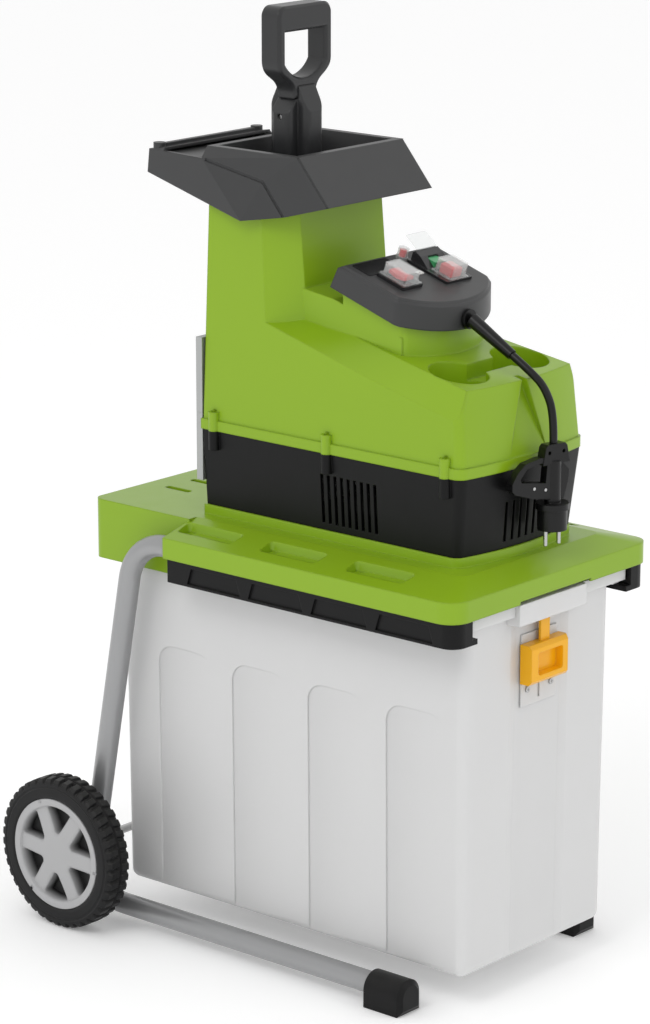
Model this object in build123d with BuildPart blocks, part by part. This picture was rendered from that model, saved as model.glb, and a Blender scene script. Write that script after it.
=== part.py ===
from build123d import *
import os
from math import acos, atan, copysign, cos, degrees, hypot, pi, radians, sin, tan

# Electric garden shredder with a roller cutter, a wheeled tube frame and a slide-out chip box.
# Millimetres. X runs across the machine, Y from the front (latch) to the back (wheels), Z up from
# the floor. The origin is on the floor under the middle of the whole machine.

os.makedirs("parts", exist_ok=True)

# Values shared by many pieces
wall = 3.0
overrun = 2.0
seat_gap = 0.3
run_gap = 0.05
body_gap = 0.6
edge_round = 1.5
pocket_taper = 18.0
slot_round_share = 0.4
latch_boss_share = 1.5
latch_low_share = 0.6
latch_pocket_taper = 8.0
shoulder_share = 0.56
dedendum_share = 1.25
stator_front_y = -180.0

# Tube frame, axle and feet
tube_d = 25.0
tube_wall = 1.5
tube_x = 160.5
tube_low_z = 22.0
tube_top_z = 468.0
tube_end_y = -150.0
tube_lean = 10.6
tube_bend_low = 48.0
tube_bend_top = 58.0
foot_front_y = -251.0
foot_length = 52.0
foot_width = 39.0
foot_height = 39.0
foot_round = 6.0
foot_face = 4.0
foot_bevel_share = 0.7

# Wheels
wheel_r = 90.0
axle_y = 230.0
axle_d = 10.0
wheel_width = 35.0
wheel_outer_x = 228.0
hub_r = 15.0
washer_t = 2.0
washer_r = 11.0
tread_depth = 4.5
tread_count = 18
tread_gap_y = 6.5
tread_bar_share = 0.52
trim_r = 66.0
trim_face_t = 4.0
trim_recess = 2.5
trim_ring = 9.5
trim_hub_r = 21.0
spoke_count = 6
spoke_inner_w = 26.0
spoke_angle = 88.5
web_t = 5.0
web_inset = 20.0
clip_t = 1.2
clip_r = 9.0
cap_socket_share = 1.4
axle_stub = 2.5

# Deck
deck_front_y = -320.0
deck_half = 176.5
deck_corner_r = 24.0
flange_z = 459.0
shoulder_z = 483.0
deck_top_z = 497.0
deck_top_half = 122.0
deck_top_front_y = -288.0
flange_end_y = 101.0
hood_half = 135.0
hood_rear_y = 249.0
hood_z = 427.0
hood_corner_r = 12.0
lip_half = 60.0
lip_notch = 3.5
pocket_x = 148.0
pocket_width = 19.0
pocket_length = 78.0
pocket_pitch = 124.0
pocket_mid_y = -69.0
pocket_floor_z = 484.5
pocket_hole = 12.0
hood_slot_x = 43.0
hood_slot_y = 200.0
hood_slot_length = 38.0
hood_slot_width = 9.0
hood_slot_depth = 6.0

# Rails that carry the chip box
rail_half = 172.0
rail_z = 431.0
rail_inner = 141.5
rail_ledge_inner = 133.0
rail_ledge_t = 6.0
rail_front_gap = 3.0
rail_rear_y = 98.0
rail_panel_count = 4
rail_panel_depth = 2.5
rail_rib = 6.0

# Chip box
box_half_top = 130.0
box_front_y = -299.0
box_rear_y = 212.0
box_top_z = 457.0
box_floor_z = 40.0
box_taper = 0.5
box_corner_r = 14.0
box_bottom_r = 11.0
box_wall = 2.6
rim_half = 139.5
rim_flange_t = 3.0
rim_band_z = 443.0
rim_front_y = -311.0
lip_front_y = -317.0
lip_z = 433.0
panel_count = 4
panel_first_y = 154.0
panel_pitch = 113.6
panel_width = 82.0
panel_top_z = 338.0
panel_depth = 1.6
panel_corner_r = 22.0
channel_half = 40.0
channel_slope = 12.0
channel_depth = 3.0

# Latch on the box front
latch_half = 34.3
latch_z = 359.0
latch_height = 45.0
latch_depth = 16.0
latch_chamfer = 7.0
latch_pocket_w = 44.0
latch_pocket_h = 26.0
latch_pocket_d = 9.0
latch_travel = 10.0
latch_plate_t = 2.0
latch_stem_half = 8.0
latch_stem_t = 3.0
latch_stem_y = -306.0
latch_slot_half = 1.6
latch_slot_low_z = 337.0
latch_screw_x = 21.0
latch_screw_z = 350.0
latch_screw_r = 3.5
latch_screw_t = 1.6
catch_gap = 2.5
catch_half = 14.0
catch_t = 3.0

# Black base housing and the green upper housing
plinth_z = 508.0
plinth_grow = 2.5
seam_z = 597.0
base_half = 101.0
seam_half = 107.0
head_rear_y = 101.0
base_front_y = -275.0
base_side_y = -262.0
seam_front_y = -281.0
seam_side_y = -272.0
groove_half = 32.0
groove_tip = 3.0
groove_depth = 7.0
head_corner_r = 11.0
nose_z = 760.0
nose_front_y = -265.5
nose_side_y = -256.5
roof_front_y = -270.0
roof_front_z = 690.5
roof_rear_y = -21.0
roof_rear_z = 738.5
bevel_front_low = (106.0, 652.0)
bevel_front_high = (92.0, 688.0)
bevel_rear_low = (100.3, 729.0)
bevel_rear_high = (70.0, 738.5)
bevel_front_y = -270.0
bevel_rear_low_y = 9.0
bevel_rear_high_y = -20.0
bevel_out = 40.0
bevel_share = 0.3
bevel_over = 12.0
chute_top_z = 853.0
chute_half_top = 94.5
chute_front_y = -12.0
chute_front_low_y = -22.0
chute_bevel_x = 70.0
chute_bevel_y = 35.0
strip_height = 12.0
strip_grow = 2.0
boss_r = 6.5
boss_hole_r = 3.0
boss_height = 22.0
boss_y = (-250.0, -83.0, 84.0)
boss_x = 107.5
cup_x = 53.0
cup_y = -224.0
cup_r = 33.0
cup_depth = 32.0
cup_notch_w = 26.0
cup_wall = 2.5
notch_mid_y = -224.0
notch_floor_z = 684.0
vent_count = 9
vent_pitch = 9.5
vent_width = 4.5
vent_mid_y = -112.0
vent_low_z = 516.0
vent_height = 56.0
vent_short_share = 0.8
grille_count = 8
grille_pitch = 12.0
grille_mid_x = 8.0
window_half_x = 92.0
window_low_z = 548.0
window_high_z = 690.0

# Control panel on its green pedestal
panel_half = 82.0
panel_rear_y = -66.0
panel_round_y = -160.0
panel_front_y = -193.0
panel_mid_y = -116.0
panel_mid_z = 760.6
panel_corner_front_r = 12.0
panel_rear_lean = 13.0
panel_slope = 18.32
panel_t = 31.0
panel_bevel = 4.5
panel_shell = 2.5
pedestal_inset = 10.0
ledge_rear_z = 769.0
ledge_front_z = 762.0
ledge_front_y = -62.0

# Hopper
hopper_top_z = 916.0
hopper_top_half = 90.0
hopper_top_front_y = -27.0
hopper_top_rear_y = 107.0
hopper_front_y = -70.0
hopper_front_z = 865.0
hopper_side_y = 38.0
hopper_side_z = 842.0
hopper_side_half = 113.0
hopper_front_half = 90.0
hopper_rear_half = 88.0
hopper_rear_y = 201.0
hopper_rear_z = 876.0
hopper_tray_z = 903.0
hopper_bar_z = 909.0
hopper_bar_t = 14.0
hopper_side_front_y = -14.0
hopper_side_front_z = 850.0
groove_corner_x = 100.0
groove_front_y = 16.0
groove_corner_z = 886.0
hopper_groove_w = 3.5
hopper_groove_d = 1.5
groove_inset_share = 0.06
throat_low_z = 686.6
throat_half_x = 66.0
throat_front_y = 6.0
throat_rear_y = 88.0
funnel_edge = 9.0
funnel_wall = 2.5
guide_height = 24.0

# Feed plunger
plunger_y = 54.0
plunger_arm = 29.0
plunger_arm_half = 14.0
plunger_arm_round = 7.0
plunger_low_z = 730.0
plunger_shoulder_z = 952.0
plunger_neck_z = 966.0
gusset_tip_z = 981.0
grip_t = 29.0
grip_half = 45.0
grip_top_z = 1070.0
grip_corner_r = 12.0
grip_side_z = 1006.0
grip_neck_half = 18.0
grip_leg = 12.0
grip_hole_low_z = 988.0
grip_hole_top_z = 1041.0
grip_edge = 3.0
socket_depth = 40.0
socket_half = 12.0
pin_r = 3.0

# Cutter, gears and motor
cutter_x = -18.0
cutter_z = 614.0
cutter_tip_r = 42.0
cutter_root_r = 31.0
cutter_teeth = 8
cutter_discs = 5
cutter_disc_t = 15.0
cutter_disc_gap = 1.0
cutter_twist = 9.0
cutter_shaft_r = 12.5
cutter_front_y = 10.0
cutter_disc_back = 8.0
plate_gap = 0.7
plate_t = 12.0
plate_half_z = 34.0
plate_travel = 4.0
plate_boss_r = 11.0
plate_boss_length = 24.0
screw_r = 5.0
screw_pitch = 1.5
knob_r = 23.0
knob_x = 112.0
knob_t = 20.0
knob_lobes = 8
chamber_half = 84.0
chamber_low_z = 511.0
chamber_high_z = 686.0
chamber_split_z = 614.0
chamber_cavity_half = 76.0
chamber_front_wall = 9.0
chamber_rear_wall = 7.7
rear_flange_half = 106.0
rear_flange_t = 9.0
rear_flange_low_z = 536.0
rear_flange_high_z = 701.0
gear_pressure = 20.0
stage_one_module = 1.25
stage_one_pinion = 10
stage_one_gear = 60
stage_two_module = 1.75
stage_two_pinion = 9
stage_two_gear = 72
lay_drop = 15.0
gear_side_gap = 3.0
stage_one_t = 12.0
stage_two_t = 16.0
gear_backlash = 0.4
wheel_tip_share = 0.8
gear_holes = 6
gear_hole_at = 40.0
gear_hole_r = 9.0
bearing_r = 19.0
lay_shaft_r = 5.5
lay_socket = 5.0
rotor_shaft_r = 6.0
chamber_boss_t = 16.0
tooth_land_share = 0.12
tooth_gullet_share = 0.5
tooth_face_share = 0.94
gearbox_wall = 4.0
gearbox_left_x = -90.0
gearbox_right_x = 96.0
gearbox_low_z = 538.0
gearbox_high_z = 686.0
fan_pitch = 30.0
switch_width = 20.0
switch_depth = 16.0
switch_height = 12.0
stator_r = 56.0
stator_bore_r = 32.0
stator_length = 78.0
rotor_gap = 0.6
winding_r = 50.0
winding_t = 20.0
fan_r = 44.0
fan_t = 14.0
fan_blades = 7
bell_t = 4.0
capacitor_r = 19.0
capacitor_length = 84.0
capacitor_x = -78.0
capacitor_z = 532.0

# Controls on the panel: places as x and y, sizes as width, length and height
inlay_place = (-41.0, -99.0)
inlay_size = (58.0, 27.0, 0.8)
selector_place = (-43.0, -132.0)
selector_seat = (34.0, 40.0, 4.0)
selector_cover = (25.0, 33.0, 13.6)
rocker_half = 7.5
rocker_reach = 11.5
rocker_low = 4.3
rocker_rise = 2.2
rocker_top = 10.4
rocker_dip = 1.4
reset_place = (8.0, -92.5)
reset_r = 4.0
reset_h = 8.0
reset_seat_r = 7.0
reset_cap_r = 6.2
reset_cap_h = 13.0
bezel_place = (30.0, -128.5)
bezel_size = (45.0, 60.0, 3.0)
wedge_length = 23.5
wedge_high = 15.0
wedge_top = 9.0
start_place = (30.0, -121.0)
start_size = (17.0, 13.0, 7.0)
stop_place = (30.0, -142.5)
stop_size = (18.0, 18.0, 10.0)
stop_cover = (27.0, 25.0, 16.0)
flap_size = (34.0, 22.0, 1.2)
flap_tilt = 24.0
button_travel = 2.0
button_seat = 0.6
indicator_place = (-1.0, -126.0)
indicator_size = (9.0, 7.0, 1.2)
cover_t = 1.0
cover_foot = 1.2
cover_rim = 2.5

# Cord and plug
cord_d = 9.0
arc_share = 0.45
collar_r = 11.0
collar_t = 4.0
boot_r = 8.0
boot_tip_r = 6.0
boot_z = 746.0
boot_end = (5.0, -251.0, 713.0)
plug_x = 13.0
plug_y = -303.0
plug_top_z = 622.0
cord_points = [
    (5.0, -251.0, 713.0),
    (7.27, -274.52, 697.99),
    (13.0, -290.0, 682.0),
    (13.0, -303.0, 655.0),
    (13.0, -303.0, 622.0),
]
lug_half_top = 15.0
lug_half_low = 19.0
lug_t = 12.0
lug_low_z = 600.0
eyelet_r = 2.2
eyelet_x = 10.0
eyelet_z = 613.0
plug_core_r = 9.0
plug_flange_r = 18.5
plug_flange_z = 549.0
plug_flange_t = 7.0
plug_r = 16.4
plug_low_z = 526.0
plug_pin_r = 2.4
plug_pin_length = 19.0
plug_pin_x = 9.5
plug_turn = -12.0
loop_t = 10.0
loop_outer = [
    (-22.0, 609.0),
    (-43.0, 605.0),
    (-53.0, 597.0),
    (-61.0, 585.0),
    (-61.0, 577.0),
    (-57.0, 573.0),
    (-32.0, 565.0),
    (2.0, 559.0),
    (12.0, 560.0),
    (18.0, 579.0),
    (19.0, 591.0),
    (11.0, 599.0),
    (6.0, 606.0),
]
loop_hole = [
    (-20.0, 603.0),
    (-41.0, 599.0),
    (-50.0, 589.0),
    (-48.0, 585.0),
    (-14.0, 580.0),
    (-12.0, 600.0),
]
loop_screw_r = 1.8
loop_screws = ((-30.0, 576.0), (-14.0, 572.5))

# Helpers: planes, files and shapes that several pieces share
def across(y):
    """Upright plane at y, sketched in X and Z; a negative extrusion runs to the back."""
    return Plane(origin=(0, y, 0), x_dir=(1, 0, 0), z_dir=(0, -1, 0))


def along(x):
    """Upright plane at x, sketched in Y and Z; a positive extrusion runs to the right."""
    return Plane(origin=(x, 0, 0), x_dir=(0, 1, 0), z_dir=(1, 0, 0))


def level(z):
    return Plane.XY.offset(z)


def save(builder, name):
    builder.part.label = name
    export_step(builder.part, f"parts/{name}.step")


def save_pair(builder, name):
    """Write a piece that was modelled on the left, and its mirror image on the right."""
    save(builder, f"{name}_left")
    with BuildPart() as twin:
        add(mirror(builder.part, about=Plane.YZ))
    save(twin, f"{name}_right")


def slab(x0, x1, y0, y1, z0, z1, mode=Mode.ADD):
    """A square block between two corners, placed in the part that is being built."""
    with Locations(((x0 + x1) / 2, (y0 + y1) / 2, (z0 + z1) / 2)):
        Box(abs(x1 - x0), abs(y1 - y0), abs(z1 - z0), mode=mode)


def rod(x, y, z, radius, length, axis, mode=Mode.ADD):
    """A round bar that starts at a point and runs along one axis."""
    directions = {"x": (1, 0, 0), "y": (0, 1, 0), "z": (0, 0, 1)}
    with Locations(Plane(origin=(x, y, z), z_dir=directions[axis])):
        Cylinder(radius, length, align=(Align.CENTER, Align.CENTER, Align.MIN), mode=mode)


def bent_rod(route, radius):
    """A round bar along straight and arc edges, made of true cylinders and tori."""
    with BuildPart() as body:
        for edge in route.edges():
            start, way = edge @ 0, edge % 0
            with BuildSketch(Plane(origin=start, z_dir=way)):
                Circle(radius)
            if edge.geom_type == GeomType.LINE:
                extrude(amount=edge.length)
            else:
                middle = edge.arc_center
                turn = Axis(middle, (start - middle).cross(way))
                revolve(axis=turn, revolution_arc=degrees(edge.length / edge.radius))
    return body.part


# Tube frame
def upright_y(z):
    return axle_y - (z - wheel_r) * tan(radians(tube_lean))


foot_rear_y = foot_front_y + foot_length
with BuildPart() as frame_tube:
    with BuildLine(along(-tube_x)) as route:
        FilletPolyline(
            (foot_front_y + foot_face + seat_gap, tube_low_z),
            (upright_y(tube_low_z), tube_low_z),
            (upright_y(tube_top_z), tube_top_z),
            (tube_end_y, tube_top_z),
            radius=[tube_bend_low, tube_bend_top],
        )
    add(bent_rod(route, tube_d / 2))
    add(bent_rod(route, tube_d / 2 - tube_wall), mode=Mode.SUBTRACT)
    rod(-tube_x - tube_d, axle_y, wheel_r, axle_d / 2 + run_gap, tube_d * 2, "x", Mode.SUBTRACT)
save_pair(frame_tube, "frame_tube")

with BuildPart() as foot_cap:
    with BuildSketch(across(foot_front_y)):
        with Locations((-tube_x, foot_height - foot_width / 2)):
            Circle(foot_width / 2)
        with Locations((-tube_x, (foot_height - foot_width / 2) / 2)):
            Rectangle(foot_width, foot_height - foot_width / 2)
    extrude(amount=-foot_length)
    chamfer(foot_cap.faces().sort_by(Axis.Y)[0].edges(), foot_round * foot_bevel_share, foot_round)
    rod(
        -tube_x,
        foot_front_y + foot_face,
        tube_low_z,
        tube_d / 2 + seat_gap,
        foot_length,
        "y",
        Mode.SUBTRACT,
    )
save_pair(foot_cap, "foot_cap")

# Axle with its washers and lock caps
tube_outer_x = tube_x + tube_d / 2
hub_inner_x = tube_outer_x + washer_t + 2 * seat_gap
wheel_inner_x = wheel_outer_x - wheel_width
web_x = wheel_outer_x - web_inset
hub_outer_x = web_x + web_t / 2
clip_x = hub_outer_x + seat_gap
axle_end_x = clip_x + clip_t + axle_stub
with BuildPart() as axle:
    rod(-axle_end_x, axle_y, wheel_r, axle_d / 2, 2 * axle_end_x, "x")
    chamfer(axle.edges().filter_by(GeomType.CIRCLE), clip_t / 2)
save(axle, "axle")

with BuildPart() as axle_washers:
    for start in (-tube_outer_x - seat_gap - washer_t, tube_outer_x + seat_gap):
        rod(start, axle_y, wheel_r, washer_r, washer_t, "x")
    rod(-axle_end_x, axle_y, wheel_r, axle_d / 2 + run_gap, 2 * axle_end_x, "x", Mode.SUBTRACT)
save(axle_washers, "axle_washers")

with BuildPart() as axle_clips:
    for start in (-clip_x - clip_t, clip_x):
        rod(start, axle_y, wheel_r, clip_r, clip_t, "x")
    rod(-axle_end_x, axle_y, wheel_r, axle_d / 2 + run_gap, 2 * axle_end_x, "x", Mode.SUBTRACT)
save(axle_clips, "axle_clips")

# Wheels: a black tyre and hub in one piece, and a grey spoked cover clipped into its outer side
wheel_axis = Axis((0, axle_y, wheel_r), (1, 0, 0))
seat_r = trim_r + seat_gap
seat_x = wheel_outer_x - trim_recess - trim_face_t
tread_r = wheel_r - tread_depth
with BuildPart() as wheel_tyre:
    with BuildSketch(Plane(origin=(0, axle_y, wheel_r), x_dir=(1, 0, 0), z_dir=(0, -1, 0))):
        with BuildLine():
            Polyline(
                (-hub_inner_x, axle_d / 2 + run_gap),
                (-hub_inner_x, hub_r),
                (-web_x + web_t / 2, hub_r),
                (-web_x + web_t / 2, seat_r - wall),
                (-wheel_inner_x - tread_depth, seat_r - wall),
                (-wheel_inner_x, seat_r + wall),
                (-wheel_inner_x, wheel_r - 2 * tread_depth),
                (-wheel_inner_x - tread_depth, wheel_r),
                (-wheel_outer_x + tread_depth, wheel_r),
                (-wheel_outer_x, wheel_r - 2 * tread_depth),
                (-wheel_outer_x, seat_r + wall / 2),
                (-wheel_outer_x + trim_recess, seat_r),
                (-seat_x + seat_gap, seat_r),
                (-seat_x + seat_gap, seat_r - wall),
                (-web_x - web_t / 2, seat_r - wall),
                (-web_x - web_t / 2, axle_d / 2 + run_gap),
                close=True,
            )
        make_face()
    revolve(axis=wheel_axis)
    wheel_mid_x = wheel_outer_x - wheel_width / 2
    for row in (-1, 1):
        row_plane = Plane(
            origin=(-wheel_mid_x + row * wheel_width / 2, axle_y, wheel_r), z_dir=(1, 0, 0)
        )
        with Locations(row_plane.rotated((0, 0, row * 90 / tread_count))):
            with PolarLocations(wheel_r, tread_count):
                Box(2 * tread_depth, tread_gap_y, wheel_width * tread_bar_share, mode=Mode.SUBTRACT)
save_pair(wheel_tyre, "wheel_tyre")

trim_plane = Plane(origin=(-wheel_outer_x + trim_recess, axle_y, wheel_r), z_dir=(1, 0, 0))
with BuildPart() as wheel_trim:
    with BuildSketch(trim_plane):
        Circle(trim_r)
        Circle(trim_r - trim_ring, mode=Mode.SUBTRACT)
    extrude(amount=trim_face_t)
    with BuildSketch(trim_plane):
        Circle(trim_hub_r)
        with PolarLocations(trim_r / 2, spoke_count):
            Trapezoid(
                spoke_inner_w,
                trim_r - trim_ring / 2,
                spoke_angle,
                rotation=-90,
            )
    extrude(amount=trim_face_t)
    spoke_edges = wheel_trim.edges().filter_by(Axis.X)
    corner_edges = [
        edge
        for edge in spoke_edges
        if trim_hub_r < hypot(edge.center().Y - axle_y, edge.center().Z - wheel_r) < trim_r - wall
    ]
    fillet(corner_edges, edge_round * 2)
    rod(
        -wheel_outer_x + trim_recess,
        axle_y,
        wheel_r,
        clip_r * cap_socket_share,
        web_inset - trim_recess - web_t / 2 - seat_gap,
        "x",
    )
    rod(
        -wheel_outer_x + trim_recess + trim_face_t,
        axle_y,
        wheel_r,
        clip_r + seat_gap,
        web_inset,
        "x",
        Mode.SUBTRACT,
    )
save_pair(wheel_trim, "wheel_trim")


# Outline of the head, seen from above: straight sides and back, a bowed front
def head_outline(half, side_y, front_y, grow=0.0):
    """The outline as a flat sketch; grow moves it outwards."""
    with BuildSketch() as outline:
        with BuildLine():
            Polyline(
                (half + grow, side_y),
                (half + grow, head_rear_y + grow),
                (-half - grow, head_rear_y + grow),
                (-half - grow, side_y),
            )
            ThreePointArc((-half - grow, side_y), (0, front_y - grow), (half + grow, side_y))
        make_face()
        fillet(outline.vertices().group_by(Axis.Y)[0], head_corner_r + grow)
    return outline.sketch


chamber_rear_y = head_rear_y - wall - seat_gap

# Deck: one green moulding, open below, with a plinth for the head and a hood at the back
deck_mid_y = (deck_front_y + flange_end_y) / 2
deck_ceiling_z = tube_top_z + tube_d / 2 + seat_gap


def deck_outline(inset):
    """The wide front part of the deck as a flat sketch, moved in by inset."""
    with BuildSketch() as outline:
        with Locations((0, deck_mid_y)):
            Rectangle(2 * (deck_half - inset), flange_end_y - deck_front_y - 2 * inset)
        fillet(outline.vertices().group_by(Axis.Y)[0], deck_corner_r - inset)
    return outline.sketch


def deck_top_outline():
    with BuildSketch() as outline:
        with Locations((0, (deck_top_front_y + flange_end_y) / 2)):
            Rectangle(2 * deck_top_half, flange_end_y - deck_top_front_y)
        fillet(outline.vertices().group_by(Axis.Y)[0], deck_corner_r / 2)
    return outline.sketch


with BuildPart() as deck:
    with BuildSketch(level(flange_z)):
        add(deck_outline(0))
    extrude(amount=shoulder_z - flange_z)
    with BuildSketch(level(shoulder_z)):
        add(deck_outline(0))
    with BuildSketch(level(deck_top_z)):
        add(deck_top_outline())
    loft(ruled=True)
    slab(-hood_half, hood_half, flange_end_y - wall, hood_rear_y, hood_z, deck_top_z)
    fillet(
        deck.edges().filter_by(Axis.Z).group_by(Axis.Y)[-1],
        hood_corner_r,
    )
    with BuildSketch(level(deck_top_z)):
        add(head_outline(base_half, base_side_y, base_front_y, plinth_grow))
        add(
            head_outline(base_half - 2 * wall, base_side_y, base_front_y + 2 * wall),
            mode=Mode.SUBTRACT,
        )
    extrude(amount=plinth_z - deck_top_z)
    with BuildSketch(level(flange_z - overrun)):
        add(deck_outline(wall))
    extrude(amount=deck_ceiling_z - flange_z + overrun, mode=Mode.SUBTRACT)
    slab(
        wall - deck_top_half,
        deck_top_half - wall,
        deck_top_front_y + wall,
        flange_end_y,
        deck_ceiling_z - overrun,
        deck_top_z - wall,
        Mode.SUBTRACT,
    )
    slab(
        wall - hood_half,
        hood_half - wall,
        flange_end_y - 2 * wall,
        hood_rear_y - wall,
        hood_z - overrun,
        deck_top_z - wall,
        Mode.SUBTRACT,
    )
    for side in (-1, 1):
        rod(
            side * tube_x,
            flange_end_y - 2 * wall,
            tube_top_z,
            tube_d / 2 + seat_gap,
            3 * wall,
            "y",
            Mode.SUBTRACT,
        )
        for step in (-1, 0, 1):
            middle = pocket_mid_y + step * pocket_pitch
            front = middle - pocket_length / 2
            with BuildSketch(level(pocket_floor_z)):
                with Locations((side * pocket_x, middle)):
                    RectangleRounded(pocket_width, pocket_length, 2 * edge_round)
            extrude(amount=deck_top_z - pocket_floor_z, taper=-pocket_taper, mode=Mode.SUBTRACT)
            with BuildSketch(level(pocket_floor_z - edge_round)):
                with Locations((side * pocket_x, front + pocket_length - pocket_hole / 2)):
                    Rectangle(pocket_width - wall, pocket_hole)
            extrude(amount=wall, mode=Mode.SUBTRACT)
    with BuildSketch(level(deck_top_z - hood_slot_depth)):
        with Locations(*[(k * hood_slot_x, hood_slot_y) for k in (-1, 0, 1)]):
            RectangleRounded(hood_slot_width, hood_slot_length, hood_slot_width * slot_round_share)
    extrude(amount=hood_slot_depth + overrun, mode=Mode.SUBTRACT)
    with BuildSketch(level(deck_top_z - hood_slot_depth - wall)):
        with Locations(*[(k * hood_slot_x, hood_slot_y) for k in (-1, 0, 1)]):
            Rectangle(hood_slot_width + 2 * wall, hood_slot_length + 2 * wall)
        with Locations(*[(k * hood_slot_x, hood_slot_y) for k in (-1, 0, 1)]):
            RectangleRounded(
                hood_slot_width, hood_slot_length, hood_slot_width * slot_round_share, mode=Mode.SUBTRACT
            )
    extrude(amount=hood_slot_depth)
    slab(
        -lip_half - wall,
        lip_half + wall,
        deck_front_y - overrun,
        deck_front_y + wall + overrun,
        flange_z - overrun,
        flange_z + lip_notch,
        Mode.SUBTRACT,
    )
    catch_y = latch_stem_y - catch_gap
    slab(-catch_half, catch_half, catch_y - catch_t, catch_y, flange_z, deck_ceiling_z + edge_round)
    slab(
        -chamber_cavity_half,
        chamber_cavity_half,
        chamber_front_wall,
        chamber_rear_y - chamber_rear_wall,
        deck_ceiling_z,
        deck_top_z + overrun,
        Mode.SUBTRACT,
    )
save(deck, "deck")

# Rails under the deck: the box rim slides on their ledges
rail_front_y = deck_front_y + rail_front_gap
rail_top_z = flange_z - seat_gap
with BuildPart() as rail:
    slab(-rail_half, -rail_inner, rail_front_y, rail_rear_y, rail_z, rail_top_z)
    fillet(
        rail.edges().filter_by(Axis.Z).group_by(Axis.X)[0].sort_by(Axis.Y)[0:1],
        deck_corner_r - 2 * rail_front_gap,
    )
    slab(
        -rail_inner - wall,
        -rail_ledge_inner,
        rail_front_y,
        rail_rear_y,
        rail_z,
        rail_z + rail_ledge_t,
    )
    rail_span = rail_rear_y - rail_front_y - 2 * deck_corner_r
    cell = rail_span / rail_panel_count
    with BuildSketch(along(-rail_half - overrun)):
        for index in range(rail_panel_count):
            start = rail_front_y + deck_corner_r + index * cell
            with BuildLine():
                Polyline(
                    (start + rail_rib, rail_z + wall),
                    (start + cell - rail_rib, rail_z + wall),
                    (start + cell - 2 * rail_rib, rail_top_z - 2 * wall),
                    (start + 2 * rail_rib, rail_top_z - 2 * wall),
                    close=True,
                )
            make_face()
    extrude(amount=overrun + rail_panel_depth, mode=Mode.SUBTRACT)
    rod(
        -tube_x,
        rail_front_y + 2 * deck_corner_r,
        tube_top_z,
        tube_d / 2 + seat_gap,
        rail_rear_y - rail_front_y,
        "y",
        Mode.SUBTRACT,
    )
save_pair(rail, "rail")

# Chip box
box_mid_y = (box_front_y + box_rear_y) / 2
box_length = box_rear_y - box_front_y
box_height = box_top_z - box_floor_z
box_slope = tan(radians(box_taper))
rail_ledge_z = rail_z + rail_ledge_t
down_plane = Plane(origin=(0, 0, box_top_z), x_dir=(1, 0, 0), z_dir=(0, 0, -1))

with BuildPart() as box_cavity:
    with BuildSketch(down_plane.offset(-overrun)):
        with Locations((0, -box_mid_y - channel_depth / 2)):
            RectangleRounded(
                2 * (box_half_top - box_wall),
                box_length - 2 * box_wall - channel_depth,
                box_corner_r - box_wall,
            )
    extrude(amount=box_height - box_wall + overrun, taper=box_taper)
    fillet(box_cavity.faces().sort_by(Axis.Z)[0].edges(), box_bottom_r - box_wall)

with BuildPart() as panel_cutters:
    for index in range(panel_count):
        rear_y = panel_first_y - index * panel_pitch
        sunk = Plane(
            origin=(-box_half_top, rear_y - panel_width, box_top_z),
            x_dir=(panel_depth, panel_width, 0),
            z_dir=(1, -panel_depth / panel_width, box_slope),
        )
        with BuildSketch(sunk):
            low = -box_height - overrun
            high = panel_top_z - box_top_z
            with Locations((panel_width / 2, (low + high) / 2)):
                Rectangle(panel_width, high - low)
            top_corners = vertices().group_by(Axis.Y)[-1].sort_by(Axis.X)
            fillet(top_corners[1], panel_corner_r)
            fillet(vertices().group_by(Axis.Y)[-1].sort_by(Axis.X)[0], panel_corner_r)
        extrude(amount=-panel_depth * 2)
    mirror(about=Plane.YZ)

with BuildPart() as box:
    with BuildSketch(down_plane):
        with Locations((0, -box_mid_y)):
            RectangleRounded(2 * box_half_top, box_length, box_corner_r)
    extrude(amount=box_height, taper=box_taper)
    fillet(box.faces().sort_by(Axis.Z)[0].edges(), box_bottom_r)
    add(panel_cutters.part, mode=Mode.SUBTRACT)
    with BuildSketch(level(rim_band_z)):
        with BuildLine():
            Polyline(
                (-channel_half - channel_slope, box_front_y - overrun),
                (-channel_half - channel_slope, box_front_y),
                (-channel_half, box_front_y + channel_depth),
                (channel_half, box_front_y + channel_depth),
                (channel_half + channel_slope, box_front_y),
                (channel_half + channel_slope, box_front_y - overrun),
                close=True,
            )
        make_face()
    extrude(
        amount=box_height,
        dir=(0, sin(radians(box_taper)), -cos(radians(box_taper))),
        mode=Mode.SUBTRACT,
    )
    for side in (-1, 1):
        slab(
            side * rim_half,
            side * (box_half_top - box_wall / 2),
            box_front_y - overrun,
            rail_rear_y - overrun,
            rail_ledge_z + seat_gap,
            rail_ledge_z + seat_gap + rim_flange_t,
        )
    slab(-rim_half, rim_half, rim_front_y, box_front_y + box_wall, rim_band_z, box_top_z)
    slab(-lip_half, lip_half, lip_front_y, box_front_y + channel_depth, lip_z, box_top_z)
    slab(
        box_wall - lip_half,
        lip_half - box_wall,
        lip_front_y + box_wall,
        box_front_y,
        lip_z - overrun,
        box_top_z - box_wall,
        Mode.SUBTRACT,
    )
    for side in (-1, 1):
        slab(
            side * (lip_half + box_wall),
            side * (rim_half - box_wall),
            rim_front_y + box_wall,
            box_front_y - box_wall,
            rim_band_z + box_wall,
            box_top_z + overrun,
            Mode.SUBTRACT,
        )
    slab(
        -latch_stem_half - run_gap - seat_gap,
        latch_stem_half + run_gap + seat_gap,
        latch_stem_y - latch_stem_t / 2,
        latch_stem_y + latch_stem_t * latch_boss_share,
        lip_z,
        box_top_z + overrun,
        Mode.SUBTRACT,
    )
    add(box_cavity.part, mode=Mode.SUBTRACT)
save(box, "chip_box")

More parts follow.
